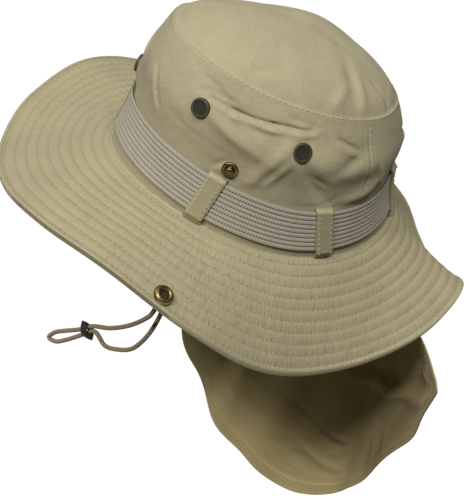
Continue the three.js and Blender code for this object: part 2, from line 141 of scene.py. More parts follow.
# Droop of the brim in degrees, at the crown and at the edge
brim_table = Table(
    ("azimuth", "inner_droop", "outer_droop"),
    [
        (-150, 26, 36),
        (-120, 28, 42),
        (-100, 16, 30),
        (-80, 0, 10),
        (-60, -4, 5),
        (-40, 7, 18),
        (-20, 16, 28),
        (0, 13, 26),
        (20, 4, 16),
        (40, -1, 15),
        (60, 12, 28),
        (80, 32, 50),
        (100, 44, 60),
        (120, 42, 54),
        (140, 33, 29),
        (152, 35, 15),
        (165, 44, 42),
        (180, 44, 47),
        (195, 34, 39),
    ],
    round_turn=True,
)
# The flap's hem hangs this far from its seam, and its cloth springs out and back this far:
# shares of its length
flap_table = Table(
    ("azimuth", "side", "back", "drop", "bow", "sweep"),
    [
        (114, 0.146, 0.299, 0.263, 0.01, 0.085),
        (127, 0.124, 0.276, 0.41, 0.02, 0.07),
        (140, 0.109, 0.253, 0.588, 0.04, 0.05),
        (154, 0.1, 0.215, 0.788, 0.06, 0.03),
        (168, 0.1, 0.17, 0.905, 0.06, 0.01),
        (182, 0.11, 0.138, 0.985, 0.06, 0),
        (196, 0.105, 0.1, 1.02, 0.07, 0),
        (208, 0.064, 0.046, 0.99, 0.08, 0),
        (220, 0.016, 0, 0.95, 0.09, 0),
        (230, -0.017, -0.022, 0.83, 0.09, 0),
        (239, -0.05, -0.045, 0.71, 0.1, 0),
        (246, -0.09, -0.02, 0.5, 0.1, 0),
    ],
)
flap_folds = (
    # azimuth at the seam, azimuth at the hem, span in degrees, depth as a share of the flap's length
    (126, 134, 8, 0.012),
    (150, 146, 8, -0.008),
    (176, 170, 9, 0.018),
    (200, 204, 8, -0.014),
    (224, 226, 8, 0.016),
)
loop_table = ((-31, -30), (49, 53), (103, 97), (152, 150), (-152, -150), (-93, -92))
eyelet_table = ((36, 0.76), (80, 0.78), (-27, 0.54), (-80, 0.72))
STUD_AZIMUTH = 56
STUD_LIFT = 0.0092
SNAP_AZIMUTH = 52
BAND_RIBS = 9
QUILT_FIRST = 0.035
QUILT_SECOND = 0.07
QUILT_LAST = 0.945
QUILT_PITCH = 0.0072
cord_route = (
    (62.2, -56.6, 5),
    (63.2, -57.8, -5),
    (70, -64, -18),
    (82, -73, -38),
    (89, -78, -54),
    (88, -80, -68),
    (86, -83, -79),
    (82, -86, -88),
    (75, -91, -95),
    (67, -97, -99),
    (58.4, -102.7, -94.8),
    (51.9, -107.8, -103.4),
    (45, -114, -114),
    (38, -119, -122),
    (33, -122, -123),
    (35, -120, -117),
    (42, -116, -109),
    (49.8, -109.8, -100.7),
    (56.3, -104.7, -92),
    (68, -98, -83),
    (80, -92, -70),
    (92, -89, -54),
    (102, -90, -39),
    (98, -86, -28),
    (78, -76, -20),
    (40, -70, -18),
    (0, -70, -20),
    (-36, -66, -18),
    (-58, -60, -8),
    (-62, -56.4, 5),
)
toggle_place = Vector((54.1, -106.3, -97.7)) * MM
toggle_run = Vector((-0.546, -0.425, -0.723))
toggle_stand = Vector((-0.527, -0.497, 0.69))

# The camera at the photograph's angle: its place in metres, its turn, rise and roll, and its focus in pixels
CAMERA_PLACE = (0.666916, -0.384017, 0.446266)
CAMERA_TURN = (59.655, 33.629, 20.674)
CAMERA_FOCUS = 1320.5
FLOOR_DROP = 2.4

# Lights: azimuth and rise in degrees, strength, and how far each softens in degrees
SUNS = (
    ("high light", 72, 70, 1.58, 22),
    ("near front light", 36, 46, 1.05, 7),
    ("far front light", 18, 42, 1.05, 7),
    ("left light", -30, 42, 0.62, 24),
)
SKY_STRENGTH = 0.06

# Creases of the crown side: from one place to another, azimuth in degrees and height as a share
side_creases = (
    # azimuth, height, azimuth, height, width in mm, depth in mm
    (37, 0.845, 52, 0.845, 1.1, 1.2),
    (48, 0.842, 68, 0.88, 1.3, 1.6),
    (64, 0.872, 84, 0.92, 1.3, 1.5),
    (31, 0.855, 37, 0.875, 1.6, 0.5),
    (37, 0.875, 48, 0.9, 1.3, 0.35),
    (72, 0.955, 86, 0.945, 1.4, 0.9),
    (96, 0.895, 107, 0.83, 1.5, 1.6),
    (90, 0.62, 94, 0.57, 1.3, 1.0),
    (77, 0.7, 71, 0.47, 2.6, -1.3),
    (49, 0.43, 53, 0.52, 1.6, 1.0),
    (4, 0.78, 17, 0.56, 1.6, 0.9),
    (-36, 0.93, -16, 0.7, 2.2, 1.3),
    (-70, 0.86, -48, 0.8, 2.2, 1.5),
    (-104, 0.66, -84, 0.82, 2.4, 1.4),
    (-150, 0.84, -128, 0.74, 2.2, 1.5),
    (150, 0.8, 172, 0.7, 2.4, 1.5),
    (122, 0.72, 128, 0.5, 2.4, -1.2),
    (113, 0.97, 115, 0.5, 0.8, 0.6),
)
# Creases of the tip panel, from one place to another in mm from its middle
tip_creases = (
    # x, y, x, y, width in mm, depth in mm
    (46, 18, 64, 3, 3.4, -1.3),
    (34, 29.6, 60, 29, 3.6, -1.3),
    (31, 39, 43, 57, 2.2, 1.0),
    (18, 24, 45, 21.5, 4.5, 0.9),
    (44, -54, 42, -24, 3.5, 0.8),
    (-27, -71, -4, -79, 1.8, 1.1),
    (10, -46, 2, -14, 6.0, 0.6),
    (-50, -20, -30, 20, 5.0, 0.9),
    (-30, 50, 10, 60, 4.0, 0.8),
    (-12, 8, 20, 44, 6.0, 0.7),
)


# Creases of the neck flap, from one place to another in mm along the brim and down from it;
# a positive depth presses the cloth outward, and the lip beside it stands inward
flap_creases = (
    # x, y, x, y, width in mm, depth in mm
    (90, 172, 134, 176, 6.0, 3.6),
    (50, 214, 96, 168, 6.5, 5.0),
    (14, 292, 54, 206, 6.0, 3.6),
    (168, 222, 120, 242, 2.6, 2.2),
    (160, 254, 112, 276, 4.0, 1.8),
    (206, 180, 204, 292, 6.0, 2.6),
    (72, 232, 62, 292, 2.4, 1.4),
    (84, 240, 76, 296, 2.2, 1.2),
    (230, 120, 222, 286, 5.0, 2.0),
    (100, 60, 96, 150, 7.0, 2.0),
    (180, 60, 176, 170, 7.0, -2.0),
    (24, 200, 14, 262, 2.4, 1.3),
)
FLAP_BREADTH_MM = 260
FLAP_DROP_MM = 300
# How finely the hung cloth is measured, and how far down its longest fall the girths are taken
CLOTH_STATIONS = 60
GIRTH_REACH = 0.9


class HatSizes(bpy.types.PropertyGroup):
    """Sizes of the hat that a maker would change"""

    def length(name, description, default):
        return FloatProperty(
            name=name, description=description, default=default, min=0, subtype="DISTANCE", unit="LENGTH"
        )

    head_length: length("Head length", "Head opening from front to back", 0.2)
    head_width: length("Head width", "Head opening from side to side", 0.165)
    crown_height: length("Crown height", "Crown from the opening to its top seam", 0.096)
    cloth_wall: length("Cloth wall", "Thickness of the crown's cloth", 0.0016)
    cloth_sag: length("Cloth sag", "How far the crown's cloth hangs over its webbing", 0.0011)
    top_puff: length("Top puff", "Rise of the tip panel over its seam", 0.021)
    brim_width: length("Brim width", "Brim from the crown to its edge", 0.074)
    brim_wall: length("Brim wall", "Thickness of the quilted brim", 0.0026)
    band_height: length("Band height", "Height of the webbing", 0.028)
    band_wall: length("Band wall", "Thickness of the webbing", 0.0014)
    loop_width: length("Loop width", "Width of a belt loop", 0.0115)
    loop_wall: length("Loop wall", "Thickness of a belt loop", 0.0012)
    loop_overhang: length("Loop overhang", "Loop above the webbing", 0.0025)
    eyelet_width: length("Vent width", "Width of a mesh vent", 0.0125)
    eyelet_wall: length("Vent rise", "Rise of a vent's ring", 0.0016)
    stud_width: length("Stud width", "Width of the crown stud's ring", 0.0105)
    stud_rise: length("Stud rise", "Rise of the crown stud", 0.004)
    snap_width: length("Snap width", "Width of the brim snap", 0.013)
    snap_rise: length("Snap rise", "Rise of the brim snap", 0.003)
    snap_inset: length("Snap inset", "Snap from the brim's edge", 0.0085)
    flap_length: length("Flap length", "Neck flap at its longest", 0.3)
    flap_wall: length("Flap wall", "Thickness of the flap's cloth", 0.0015)
    side_hem: length("Side hem", "Width of the flap's side hem", 0.0065)
    foot_hem: length("Foot hem", "Width of the flap's bottom hem", 0.0115)
    cord_thickness: length("Cord thickness", "Chin cord's diameter", 0.003)
    toggle_length: length("Toggle length", "Cord toggle from point to point", 0.015)
    toggle_width: length("Toggle width", "Cord toggle across", 0.009)
    strand_pitch: length("Strand pitch", "Middle to middle of the strands in the toggle", 0.004)
    seat_gap: length("Seat gap", "Gap between two pieces that touch", 0.0003)
    cloth_gap: length("Cloth gap", "Gap between cloth and webbing", 0.0006)
    flap_gap: length("Flap gap", "Gap between the flap and the brim", 0.0015)
    stitch_pitch: length("Stitch pitch", "From one stitch to the next", 0.0036)
    stitch_length: length("Stitch length", "Length of a stitch that shows", 0.0026)
    thread: length("Thread", "Thickness of the sewing thread", 0.0005)
    quilt_puff: length("Quilt puff", "Rise of the brim between its stitch rows", 0.0009)
    quilt_rows: IntProperty(name="Quilt rows", description="Stitch rows round the brim", default=11, min=2)


class HatColours(bpy.types.PropertyGroup):
    """Colours of the hat's cloth, webbing and fittings"""

    def colour(name, description, default):
        return FloatVectorProperty(
            name=name, description=description, default=default, size=3, min=0, max=1, subtype="COLOR"
        )

    khaki: colour("Khaki", "Cotton of the crown", (0.38, 0.335, 0.205))
    khaki_brim: colour("Brim khaki", "Cotton of the brim", (0.36, 0.315, 0.185))
    khaki_flap: colour("Flap khaki", "Cotton of the flap", (0.41, 0.325, 0.15))
    khaki_loop: colour("Loop khaki", "Cotton of the belt loops", (0.38, 0.34, 0.2))
    thread: colour("Thread", "Sewing thread", (0.52, 0.47, 0.3))
    webbing: colour("Webbing", "Ribbed webbing", (0.43, 0.39, 0.31))
    cord: colour("Cord", "Chin cord", (0.31, 0.245, 0.14))
    bronze: colour("Bronze", "Mesh vents", (0.042, 0.038, 0.022))
    brass: colour("Brass", "Stud and snap", (0.19, 0.148, 0.06))
    toggle: colour("Toggle", "Cord toggle", (0.03, 0.022, 0.018))
    floor: colour("Floor", "Pale studio floor", (0.95, 0.95, 0.95))


def smoothstep(value, low, high):
    s = np.clip((value - low) / (high - low), 0, 1)
    return s * s * (3 - 2 * s)


def bump(distance):
    return np.exp(-2 * distance**2)


def turned_degrees(start, end):
    return (start - end + 540) % 360 - 180


def unit(vectors):
    return vectors / np.maximum(np.linalg.norm(vectors, axis=-1, keepdims=True), 1e-12)


def crease_depth(x, y, creases):
    """Depth of cloth pressed in along short creases, each with a lip beside it"""
    total = np.zeros(np.broadcast(x, y).shape)
    for x1, y1, x2, y2, width, depth in creases:
        run = np.array([x2 - x1, y2 - y1])
        length = np.hypot(*run)
        along = ((x - x1) * run[0] + (y - y1) * run[1]) / length
        aside = ((x - x1) * run[1] - (y - y1) * run[0]) / length / width
        start = smoothstep(along, -2.5 * width, 3 * width)
        ends = start * (1 - smoothstep(along, length - 3 * width, length + 2.5 * width))
        total += depth * ends * (np.exp(-(aside**2)) - 0.6 * np.exp(-((aside - 2.0) ** 2) / 2.2))
    return total


class HatShape:
    """The surfaces of the hat, from its sizes and tables"""

    DEGREE_MM = 1.48
    HEIGHT_MM = 90

    def __init__(self, sizes):
        self.s = sizes
        self.half = np.array([sizes.head_width / 2, sizes.head_length / 2])

    def opening(self, azimuth, share):
        a = np.radians(azimuth)
        x = self.half[0] * share * np.sin(a)
        y = -self.half[1] * share * np.cos(a)
        return np.stack(np.broadcast_arrays(x, y, 0.0), -1)

    def outward(self, azimuth):
        a = np.radians(azimuth)
        x = np.sin(a) / self.half[0]
        y = -np.cos(a) / self.half[1]
        return unit(np.stack(np.broadcast_arrays(x, y, 0.0), -1))

    def base_rise(self, azimuth):
        return self.s.crown_height * crown_table.read("base_rise", azimuth)

    def top_rise(self, azimuth):
        return self.s.crown_height * crown_table.read("top_rise", azimuth)

    def band_foot(self, azimuth):
        return self.s.band_height * crown_table.read("band_foot", azimuth)

    def crown_share(self, azimuth, rise):
        return rise / (self.top_rise(azimuth) - self.base_rise(azimuth))

    def crown_point(self, azimuth, height, fine=True):
        azimuth, height = np.broadcast_arrays(np.asarray(azimuth, float), np.asarray(height, float))
        share = crown_profile.read("opening", height)
        for name in ("waist", "belly", "top"):
            share = share + crown_profile.read(name, height) * crown_table.read(name, azimuth)
        point = self.opening(azimuth, share)
        low = self.base_rise(azimuth) + self.s.seat_gap
        point[..., 2] = low + (self.top_rise(azimuth) - low) * height
        over_band = 1 + 3.4 * bump(turned_degrees(azimuth, 98) / 46)
        depth = -self.s.cloth_sag * over_band * bump((height - 0.72) / 0.19)
        for at, level, span, reach, slope, deep in crown_dents:
            along = turned_degrees(azimuth, at) / span
            beside = bump((height - level - slope * along) / reach)
            depth = depth + deep * self.s.crown_height * bump(along) * beside
        if fine:
            x = turned_degrees(azimuth, 0) * self.DEGREE_MM
            y = height * self.HEIGHT_MM
            rows = [
                (a * self.DEGREE_MM, h * self.HEIGHT_MM, b * self.DEGREE_MM, k * self.HEIGHT_MM, w, d)
                for a, h, b, k, w, d in side_creases
            ]
            depth = depth + MM * crease_depth(x, y, rows)
        free = smoothstep(height, 0.37, 0.46) * (1 - smoothstep(height, 0.92, 1))
        return point - self.outward(azimuth) * (depth * free)[..., None]

    def brim_point(self, azimuth, share):
        azimuth, share = np.broadcast_arrays(np.asarray(azimuth, float), np.asarray(share, float))
        inner = np.radians(brim_table.read("inner_droop", azimuth))
        outer = np.radians(brim_table.read("outer_droop", azimuth))
        point = self.opening(azimuth, 1).copy()
        point[..., 2] = self.base_rise(azimuth)
        way = self.outward(azimuth)
        pieces = 12
        for i in range(pieces):
            droop = inner + (outer - inner) * share * (i + 0.5) / pieces
            step = self.s.brim_width * share / pieces
            point += way * (step * np.cos(droop))[..., None]
            point[..., 2] -= step * np.sin(droop)
        return point

    def kept_under_brim(self, point, clearance):
        left = point[..., 0] / self.s.head_width
        ahead = -point[..., 1] / self.s.head_length
        azimuth = np.degrees(np.arctan2(left, ahead))
        reach = np.hypot(point[..., 0], point[..., 1])
        steps = np.linspace(0, 1, 26)
        rim = self.brim_point(azimuth[..., None], steps)
        out = np.hypot(rim[..., 0], rim[..., 1])
        share = np.zeros_like(reach)
        for k in range(len(steps) - 1):
            part = (reach - out[..., k]) / (out[..., k + 1] - out[..., k])
            share = np.where(part > 0, (k + np.minimum(part, 1)) / (len(steps) - 1), share)
        roof = self.brim_point(azimuth, share)[..., 2] - self.s.brim_wall - clearance
        near = (share < 1) | (reach - out[..., -1] < self.s.brim_wall)
        point = point.copy()
        point[..., 2] = np.where(near, np.minimum(point[..., 2], roof), point[..., 2])
        return point

    def flap_azimuth(self, along):
        return flap_table.at[0] + (flap_table.at[-1] - flap_table.at[0]) * along

    def flap_point(self, along, down):
        along, down = np.broadcast_arrays(np.asarray(along, float), np.asarray(down, float))
        s = self.s
        azimuth = self.flap_azimuth(along)
        way = self.outward(azimuth)
        seam = self.opening(azimuth, 1) - way * s.seat_gap
        seam[..., 2] = self.base_rise(azimuth) - s.brim_wall - s.seat_gap - s.flap_wall
        hang = s.flap_length * np.stack(
            [
                flap_table.read("side", azimuth),
                flap_table.read("back", azimuth),
                -flap_table.read("drop", azimuth),
            ],
            -1,
        )
        spring = s.flap_length * 4 * down * (1 - down) * (1 - 0.5 * down)
        bow = spring * flap_table.read("bow", azimuth)
        depth = np.zeros_like(down)
        for top, hem, span, deep in flap_folds:
            depth = depth + deep * bump((azimuth - top - (hem - top) * down) / span)
        out = bow + depth * s.flap_length * smoothstep(down, 0.15, 0.6)
        point = seam + hang * down[..., None] + way * out[..., None]
        point[..., 1] += spring * flap_table.read("sweep", azimuth)
        return self.kept_under_brim(point, s.flap_wall + s.flap_gap * smoothstep(down, 0, 0.1) + s.seat_gap)

    def tip_frame(self, azimuth):
        """The tip panel's rim at an azimuth, and its middle"""
        ring = self.crown_point(azimuth_of(np.arange(64) / 64), 1.0)
        return self.crown_point(azimuth, 1.0), ring.mean(0)


def shape(context):
    return HatShape(context.scene.hat_sizes)


def surface_normal(face, u, v, step=1e-3):
    across = face(u + step, v) - face(u - step, v)
    up = face(u, v + step) - face(u, v - step)
    return unit(np.cross(across, up))


def azimuth_of(turn):
    return turn * 360 - 180


class Term:
    """An output of a shader node; arithmetic on it adds the Math nodes that it needs"""

    def __init__(self, finish, socket):
        self.finish = finish
        self.socket = socket

    def math(self, operation, *values):
        return self.finish.add("Math", {"operation": operation}, dict(enumerate(values)))

    def __add__(self, other):
        return self.math("ADD", self, other)

    def __radd__(self, other):
        return self.math("ADD", other, self)

    def __sub__(self, other):
        return self.math("SUBTRACT", self, other)

    def __rsub__(self, other):
        return self.math("SUBTRACT", other, self)

    def __mul__(self, other):
        return self.math("MULTIPLY", self, other)

    def __rmul__(self, other):
        return self.math("MULTIPLY", other, self)

    def __truediv__(self, other):
        return self.math("DIVIDE", self, other)

    def __pow__(self, other):
        return self.math("POWER", self, other)

    def wave(self):
        return self.math("SINE", self)

    def size(self):
        return self.math("ABSOLUTE", self)

    def whole(self):
        return self.math("FLOOR", self)

    def clamped(self):
        return self.finish.add("Clamp", {}, {"Value": self})


class Finish:
    """A node material under one Principled shader"""

    def __init__(self, name):
        self.material = bpy.data.materials.new(name)
        self.material.use_nodes = True
        self.tree = self.material.node_tree
        self.tree.nodes.clear()

    def add(self, kind, settings=None, sockets=None, output=0):
        node = self.tree.nodes.new("ShaderNode" + kind)
        for key, value in (settings or {}).items():
            if key == "stops":
                ramp = node.color_ramp.elements
                while len(ramp) < len(value):
                    ramp.new(0.5)
                for element, (place, colour) in zip(ramp, value):
                    element.position = place
                    element.color = (*colour, 1)
            else:
                setattr(node, key, value)
        for key, value in (sockets or {}).items():
            if isinstance(value, Term):
                self.tree.links.new(value.socket, node.inputs[key])
            else:
                node.inputs[key].default_value = value
        return Term(self, node.outputs[output])

    def pattern(self, name):
        """The piece's own flat coordinates in metres, from one of its UV maps"""
        return self.add("UVMap", {"uv_map": name})

    def place(self):
        return self.add("TexCoord", {}, {}, 3)

    def parts(self, vector):
        split = self.tree.nodes.new("ShaderNodeSeparateXYZ")
        self.tree.links.new(vector.socket, split.inputs[0])
        return [Term(self, split.outputs[k]) for k in range(3)]

    def joined(self, x, y, z=0.0):
        return self.add("CombineXYZ", {}, {0: x, 1: y, 2: z})

    def stretched(self, vector, scale, turn=0.0):
        return self.add("Mapping", {}, {0: vector, 2: (0, 0, turn), 3: scale})

    def noise(self, vector, scale, detail=3.0, rough=0.55, distortion=0.0):
        return self.add(
            "TexNoise",
            {},
            {
                "Vector": vector,
                "Scale": scale,
                "Detail": detail,
                "Roughness": rough,
                "Distortion": distortion,
            },
        )

    def mix(self, share, first, second):
        colours = [c if isinstance(c, Term) else (*c, 1) for c in (first, second)]
        return self.add("Mix", {"data_type": "RGBA"}, {0: share, 6: colours[0], 7: colours[1]}, 2)

    def shade(self, colour, low, high, by):
        """A colour that goes from darker to lighter as a pattern goes from 0 to 1"""
        dark = [c * low for c in colour]
        light = [min(c * high, 1) for c in colour]
        return self.mix(by, dark, light)

    def close(self, colour, rough, height=None, settings=None):
        sockets = {"Base Color": colour if isinstance(colour, Term) else (*colour, 1), "Roughness": rough}
        sockets.update(settings or {})
        if height is not None:
            sockets["Normal"] = self.add("Bump", {}, {"Strength": 1.0, "Distance": 1.0, "Height": height})
        shader = self.add("BsdfPrincipled", {}, sockets)
        output = self.tree.nodes.new("ShaderNodeOutputMaterial")
        self.tree.links.new(shader.socket, output.inputs[0])
        return self.material


def cotton(name, colour, rows=False, crumple=1.0):
    """Washed cotton twill: diagonal weave, slubs, soft wrinkles and faded patches"""
    f = Finish(name)
    flat = f.pattern("cloth")
    x, y, _ = f.parts(flat)
    twill = ((x + y) * (2 * math.pi / 0.00085)).wave()
    slub = f.noise(f.stretched(flat, (350, 2400, 1)), 1.0, 2.0)
    cross = f.noise(f.stretched(flat, (2400, 350, 1)), 1.0, 2.0)
    patch = f.noise(flat, 38, 3.0, 0.6)
    broad = f.noise(flat, 9, 2.0, 0.5)
    fine = f.noise(flat, 420, 4.0, 0.7)
    wrinkle = f.noise(f.stretched(flat, (22, 40, 1), 0.4), 1.0, 2.0, 0.45, 0.5)
    crimp = f.noise(f.stretched(flat, (130, 60, 1), -0.5), 1.0, 2.0, 0.5, 0.3)
    ridge = 1 - (wrinkle - 0.5).size() * 7
    height = (
        twill * 0.00001
        + slub * 0.000035
        + cross * 0.000035
        + wrinkle * (0.0017 * crumple)
        + crimp * (0.00045 * crumple)
        + ridge.clamped() ** 2.0 * (0.00012 * crumple)
    )
    speck = f.noise(flat, 1100, 2.0, 0.6)
    tone = patch * 0.4 + broad * 0.25 + fine * 0.6 + (slub + cross + speck - 1.5) * 0.7 - 0.13
    if rows:
        run, reach, _ = f.parts(f.pattern("rows"))
        row = (reach * (1 / QUILT_PITCH)).whole()
        inside = reach * (1 / QUILT_PITCH) - row
        middle = (inside * math.pi).wave()
        pucker = f.noise(f.joined(run * 380, row * 7.3 + inside * 0.8), 1.0, 1.5, 0.5)
        height = height + (pucker - 0.5) * (1 - middle * 0.75) * 0.0013
        # Painted shade: the tone is darkened along each row's sunken stitch line, most at the stitch holes
        # between the stitches
        stitch_groove_shade = (((inside - 0.5).size() - 0.4) * 10).clamped()
        hole = (run * (2 * math.pi / 0.0036)).wave() * 0.5 + 0.5
        tone = tone * 0.85 + pucker * 0.15 - stitch_groove_shade * (hole * 0.9 + 0.25)
    tinted = f.shade(colour, 0.68, 1.3, tone.clamped())
    wash = f.mix((broad * patch * 1.2).clamped(), tinted, [min(c * 1.04 + 0.015, 1) for c in colour])
    rough = 0.88 + tone * 0.1
    dry = {"Sheen Weight": 0.08, "Sheen Roughness": 0.6, "Specular IOR Level": 0.18}
    return f.close(wash, rough, height, dry)


def ribbed(name, colour):
    """Cotton webbing: chevrons of fine yarns in each rib, with painted shade in the grooves between the ribs
    """
    f = Finish(name)
    flat = f.pattern("cloth")
    x, y, _ = f.parts(flat)
    rib = y * (BAND_RIBS / 0.028)
    inside = (rib - rib.whole() - 0.5).size()
    # Painted shade: crown is 1 on each rib's top and 0 in the grooves, so its share of the tone darkens the
    # grooves
    crown = 1 - (inside * 2) ** 3.0
    pick = (x * (2 * math.pi / 0.0017) + inside * 6.0).wave()
    fuzz = f.noise(f.stretched(flat, (900, 2600, 1)), 1.0, 3.0)
    patch = f.noise(flat, 45, 3.0, 0.6)
    tone = fuzz * 0.35 + patch * 0.3 + pick * 0.2 + crown * 0.35
    height = pick * 0.00014 + fuzz * 0.00018
    rough = 0.86 + patch * 0.1
    yarn = f.shade(colour, 0.6, 1.18, tone.clamped())
    return f.close(yarn, rough, height, {"Sheen Weight": 0.1, "Specular IOR Level": 0.2})


def braided(name, colour):
    """Round braided cord: crossing strands"""
    f = Finish(name)
    x, y, _ = f.parts(f.pattern("cloth"))
    turn = 2 * math.pi / 0.0035
    left = (x * turn + y * turn).wave()
    right = (x * turn - y * turn).wave()
    lay = left.math("MAXIMUM", left, right)
    fuzz = f.noise(f.place(), 1800, 3.0)
    tone = lay * 0.3 + fuzz * 0.4 + 0.25
    height = lay * 0.00022 + fuzz * 0.0002
    yarn = f.shade(colour, 0.6, 1.2, tone.clamped())
    return f.close(yarn, 0.9, height, {"Sheen Weight": 0.2, "Specular IOR Level": 0.2})


def sewing(name, colour):
    """Sewing thread: short twisted dashes"""
    f = Finish(name)
    fuzz = f.noise(f.place(), 2500, 2.0)
    return f.close(f.shade(colour, 0.75, 1.2, fuzz), 0.8, fuzz * 0.00005, {"Sheen Weight": 0.1})


def worn_metal(name, colour, bright, rough, metal):
    """Dark metal whose raised parts are rubbed brighter"""
    f = Finish(name)
    at = f.place()
    grime = f.noise(at, 700, 4.0, 0.65)
    scratch = f.noise(f.stretched(at, (3000, 600, 900)), 1.0, 2.0)
    edge = f.add("NewGeometry", {}, {}, 7)
    rub = ((edge - 0.5) * 6 + (grime - 0.45) * 1.6).clamped()
    tinted = f.mix(rub, colour, bright)
    dulled = rough + (grime - 0.5) * 0.35 + scratch * 0.08
    return f.close(tinted, dulled.clamped(), grime * 0.00008, {"Metallic": metal})


def moulded(name, colour):
    """Dark polished toggle with faint grain"""
    f = Finish(name)
    at = f.place()
    grain = f.noise(f.stretched(at, (260, 260, 900)), 1.0, 3.0)
    worn = f.shade(colour, 0.5, 1.4, grain)
    return f.close(worn, 0.5 + grain * 0.2, grain * 0.00006, {"Specular IOR Level": 0.2})


def studio(name, colour):
    f = Finish(name)
    mottle = f.noise(f.place(), 3, 3.0)
    return f.close(f.shade(colour, 0.99, 1.01, mottle), 0.9, mottle * 0.0002)


def begin():
    if bpy.context.mode != "OBJECT":
        bpy.ops.object.mode_set(mode="OBJECT")
    bpy.ops.object.select_all(action="DESELECT")


def corners(piece):
    return np.array([v.co for v in piece.data.vertices], float)


def moved(piece, points):
    piece.data.vertices.foreach_set("co", np.ascontiguousarray(points, dtype=np.float32).ravel())
    piece.data.update()


def flat_map(piece, name, x, y):
    """Writes a UV map in metres from values at each face corner"""
    layer = piece.data.uv_layers.new(name=name)
    layer.data.foreach_set("uv", np.stack([x, y], -1).astype(np.float32).ravel())


def corner_vertices(piece):
    found = np.zeros(len(piece.data.loops), int)
    piece.data.loops.foreach_get("vertex_index", found)
    return found


def grid_piece(name, across, down, place, flat):
    """A sheet from a grid: place(u, v) is its surface, with its face along du x dv"""
    begin()
    bpy.ops.mesh.primitive_grid_add(x_subdivisions=across, y_subdivisions=down, size=1, calc_uvs=False)
    piece = bpy.context.object
    piece.name = name
    points = corners(piece)
    u = np.round((points[:, 0] + 0.5) * across) / across
    v = np.round((points[:, 1] + 0.5) * down) / down
    moved(piece, place(u, v))
    vertices = corner_vertices(piece)
    for map_name, mapping in flat.items():
        flat_map(piece, map_name, *mapping(u[vertices], v[vertices]))
    return piece


def ring_piece(name, along, around, place, flat):
    """A closed band round the hat, from a grid whose edges meet: place(turn, section) is its surface"""

    def closed(u, v):
        return place(u % 1.0, v % 1.0)

    piece = grid_piece(name, along, around, closed, flat)
    bpy.ops.object.mode_set(mode="EDIT")
    bpy.ops.mesh.select_all(action="SELECT")
    bpy.ops.mesh.remove_doubles(threshold=1e-6)
    bpy.ops.object.mode_set(mode="OBJECT")
    return piece


def with_modifier(piece, kind, **settings):
    bpy.context.view_layer.objects.active = piece
    modifier = piece.modifiers.new(kind.title(), kind)
    for key, value in settings.items():
        setattr(modifier, key, value)
    bpy.ops.object.modifier_apply(modifier=modifier.name)
    return piece


def smooth(piece, angle=60):
    begin()
    piece.select_set(True)
    bpy.context.view_layer.objects.active = piece
    bpy.ops.object.shade_smooth_by_angle(angle=math.radians(angle))
    return piece


def finished(piece, look, slot, *nodes):
    piece.data.materials.clear()
    piece.data.materials.append(look)
    if nodes:
        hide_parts(*nodes)
    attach(piece, "root")
    return piece


def turned_piece(name, profile, steps):
    """A round fitting on the axis: a filled circle drawn up through a profile of radius and height"""
    begin()
    (radius, height), *rest = profile
    foot = (0, 0, height)
    bpy.ops.mesh.primitive_circle_add(vertices=steps, radius=radius, location=foot, fill_type="NGON")
    piece = bpy.context.object
    piece.name = name
    bpy.ops.object.transform_apply(location=True, rotation=False, scale=False)
    bpy.ops.object.mode_set(mode="EDIT")
    bpy.ops.mesh.select_all(action="SELECT")
    for new_radius, new_height in rest:
        bpy.ops.mesh.extrude_region_move(TRANSFORM_OT_translate={"value": (0, 0, new_height - height)})
        share = new_radius / radius
        bpy.ops.transform.resize(value=(share, share, 1), center_override=(0, 0, 0))
        radius, height = new_radius, new_height
    bpy.ops.mesh.select_all(action="SELECT")
    bpy.ops.mesh.normals_make_consistent(inside=False)
    bpy.ops.object.mode_set(mode="OBJECT")
    return piece


def joined_pieces(name, pieces):
    begin()
    for piece in pieces:
        piece.select_set(True)
    bpy.context.view_layer.objects.active = pieces[0]
    bpy.ops.object.join()
    pieces[0].name = name
    return pieces[0]


def set_at(piece, place, across, up, out):
    """Puts a piece made along +Z on the hat, with its place in its mesh"""
    turn = Matrix((across, up, out)).transposed().to_4x4()
    piece.data.transform(Matrix.Translation(place) @ turn)
    piece.data.update()


def stitch_body(sizes):
    """One stitch along X: an arched thread whose ends go down into the cloth"""
    begin()
    bpy.ops.mesh.primitive_uv_sphere_add(segments=6, ring_count=5, radius=0.5)
    piece = bpy.context.object
    points = corners(piece)
    long = points[:, 2] * 2
    thick = sizes.thread * (0.8 + 0.4 * (1 - long**2))
    arch = sizes.thread * (0.55 * (1 - long**2) - 0.45)
    body = np.stack([long * sizes.stitch_length / 2, points[:, 1] * thick, points[:, 0] * thick + arch], -1)
    faces = [list(f.vertices) for f in piece.data.polygons]
    bpy.data.objects.remove(piece)
    return body, faces


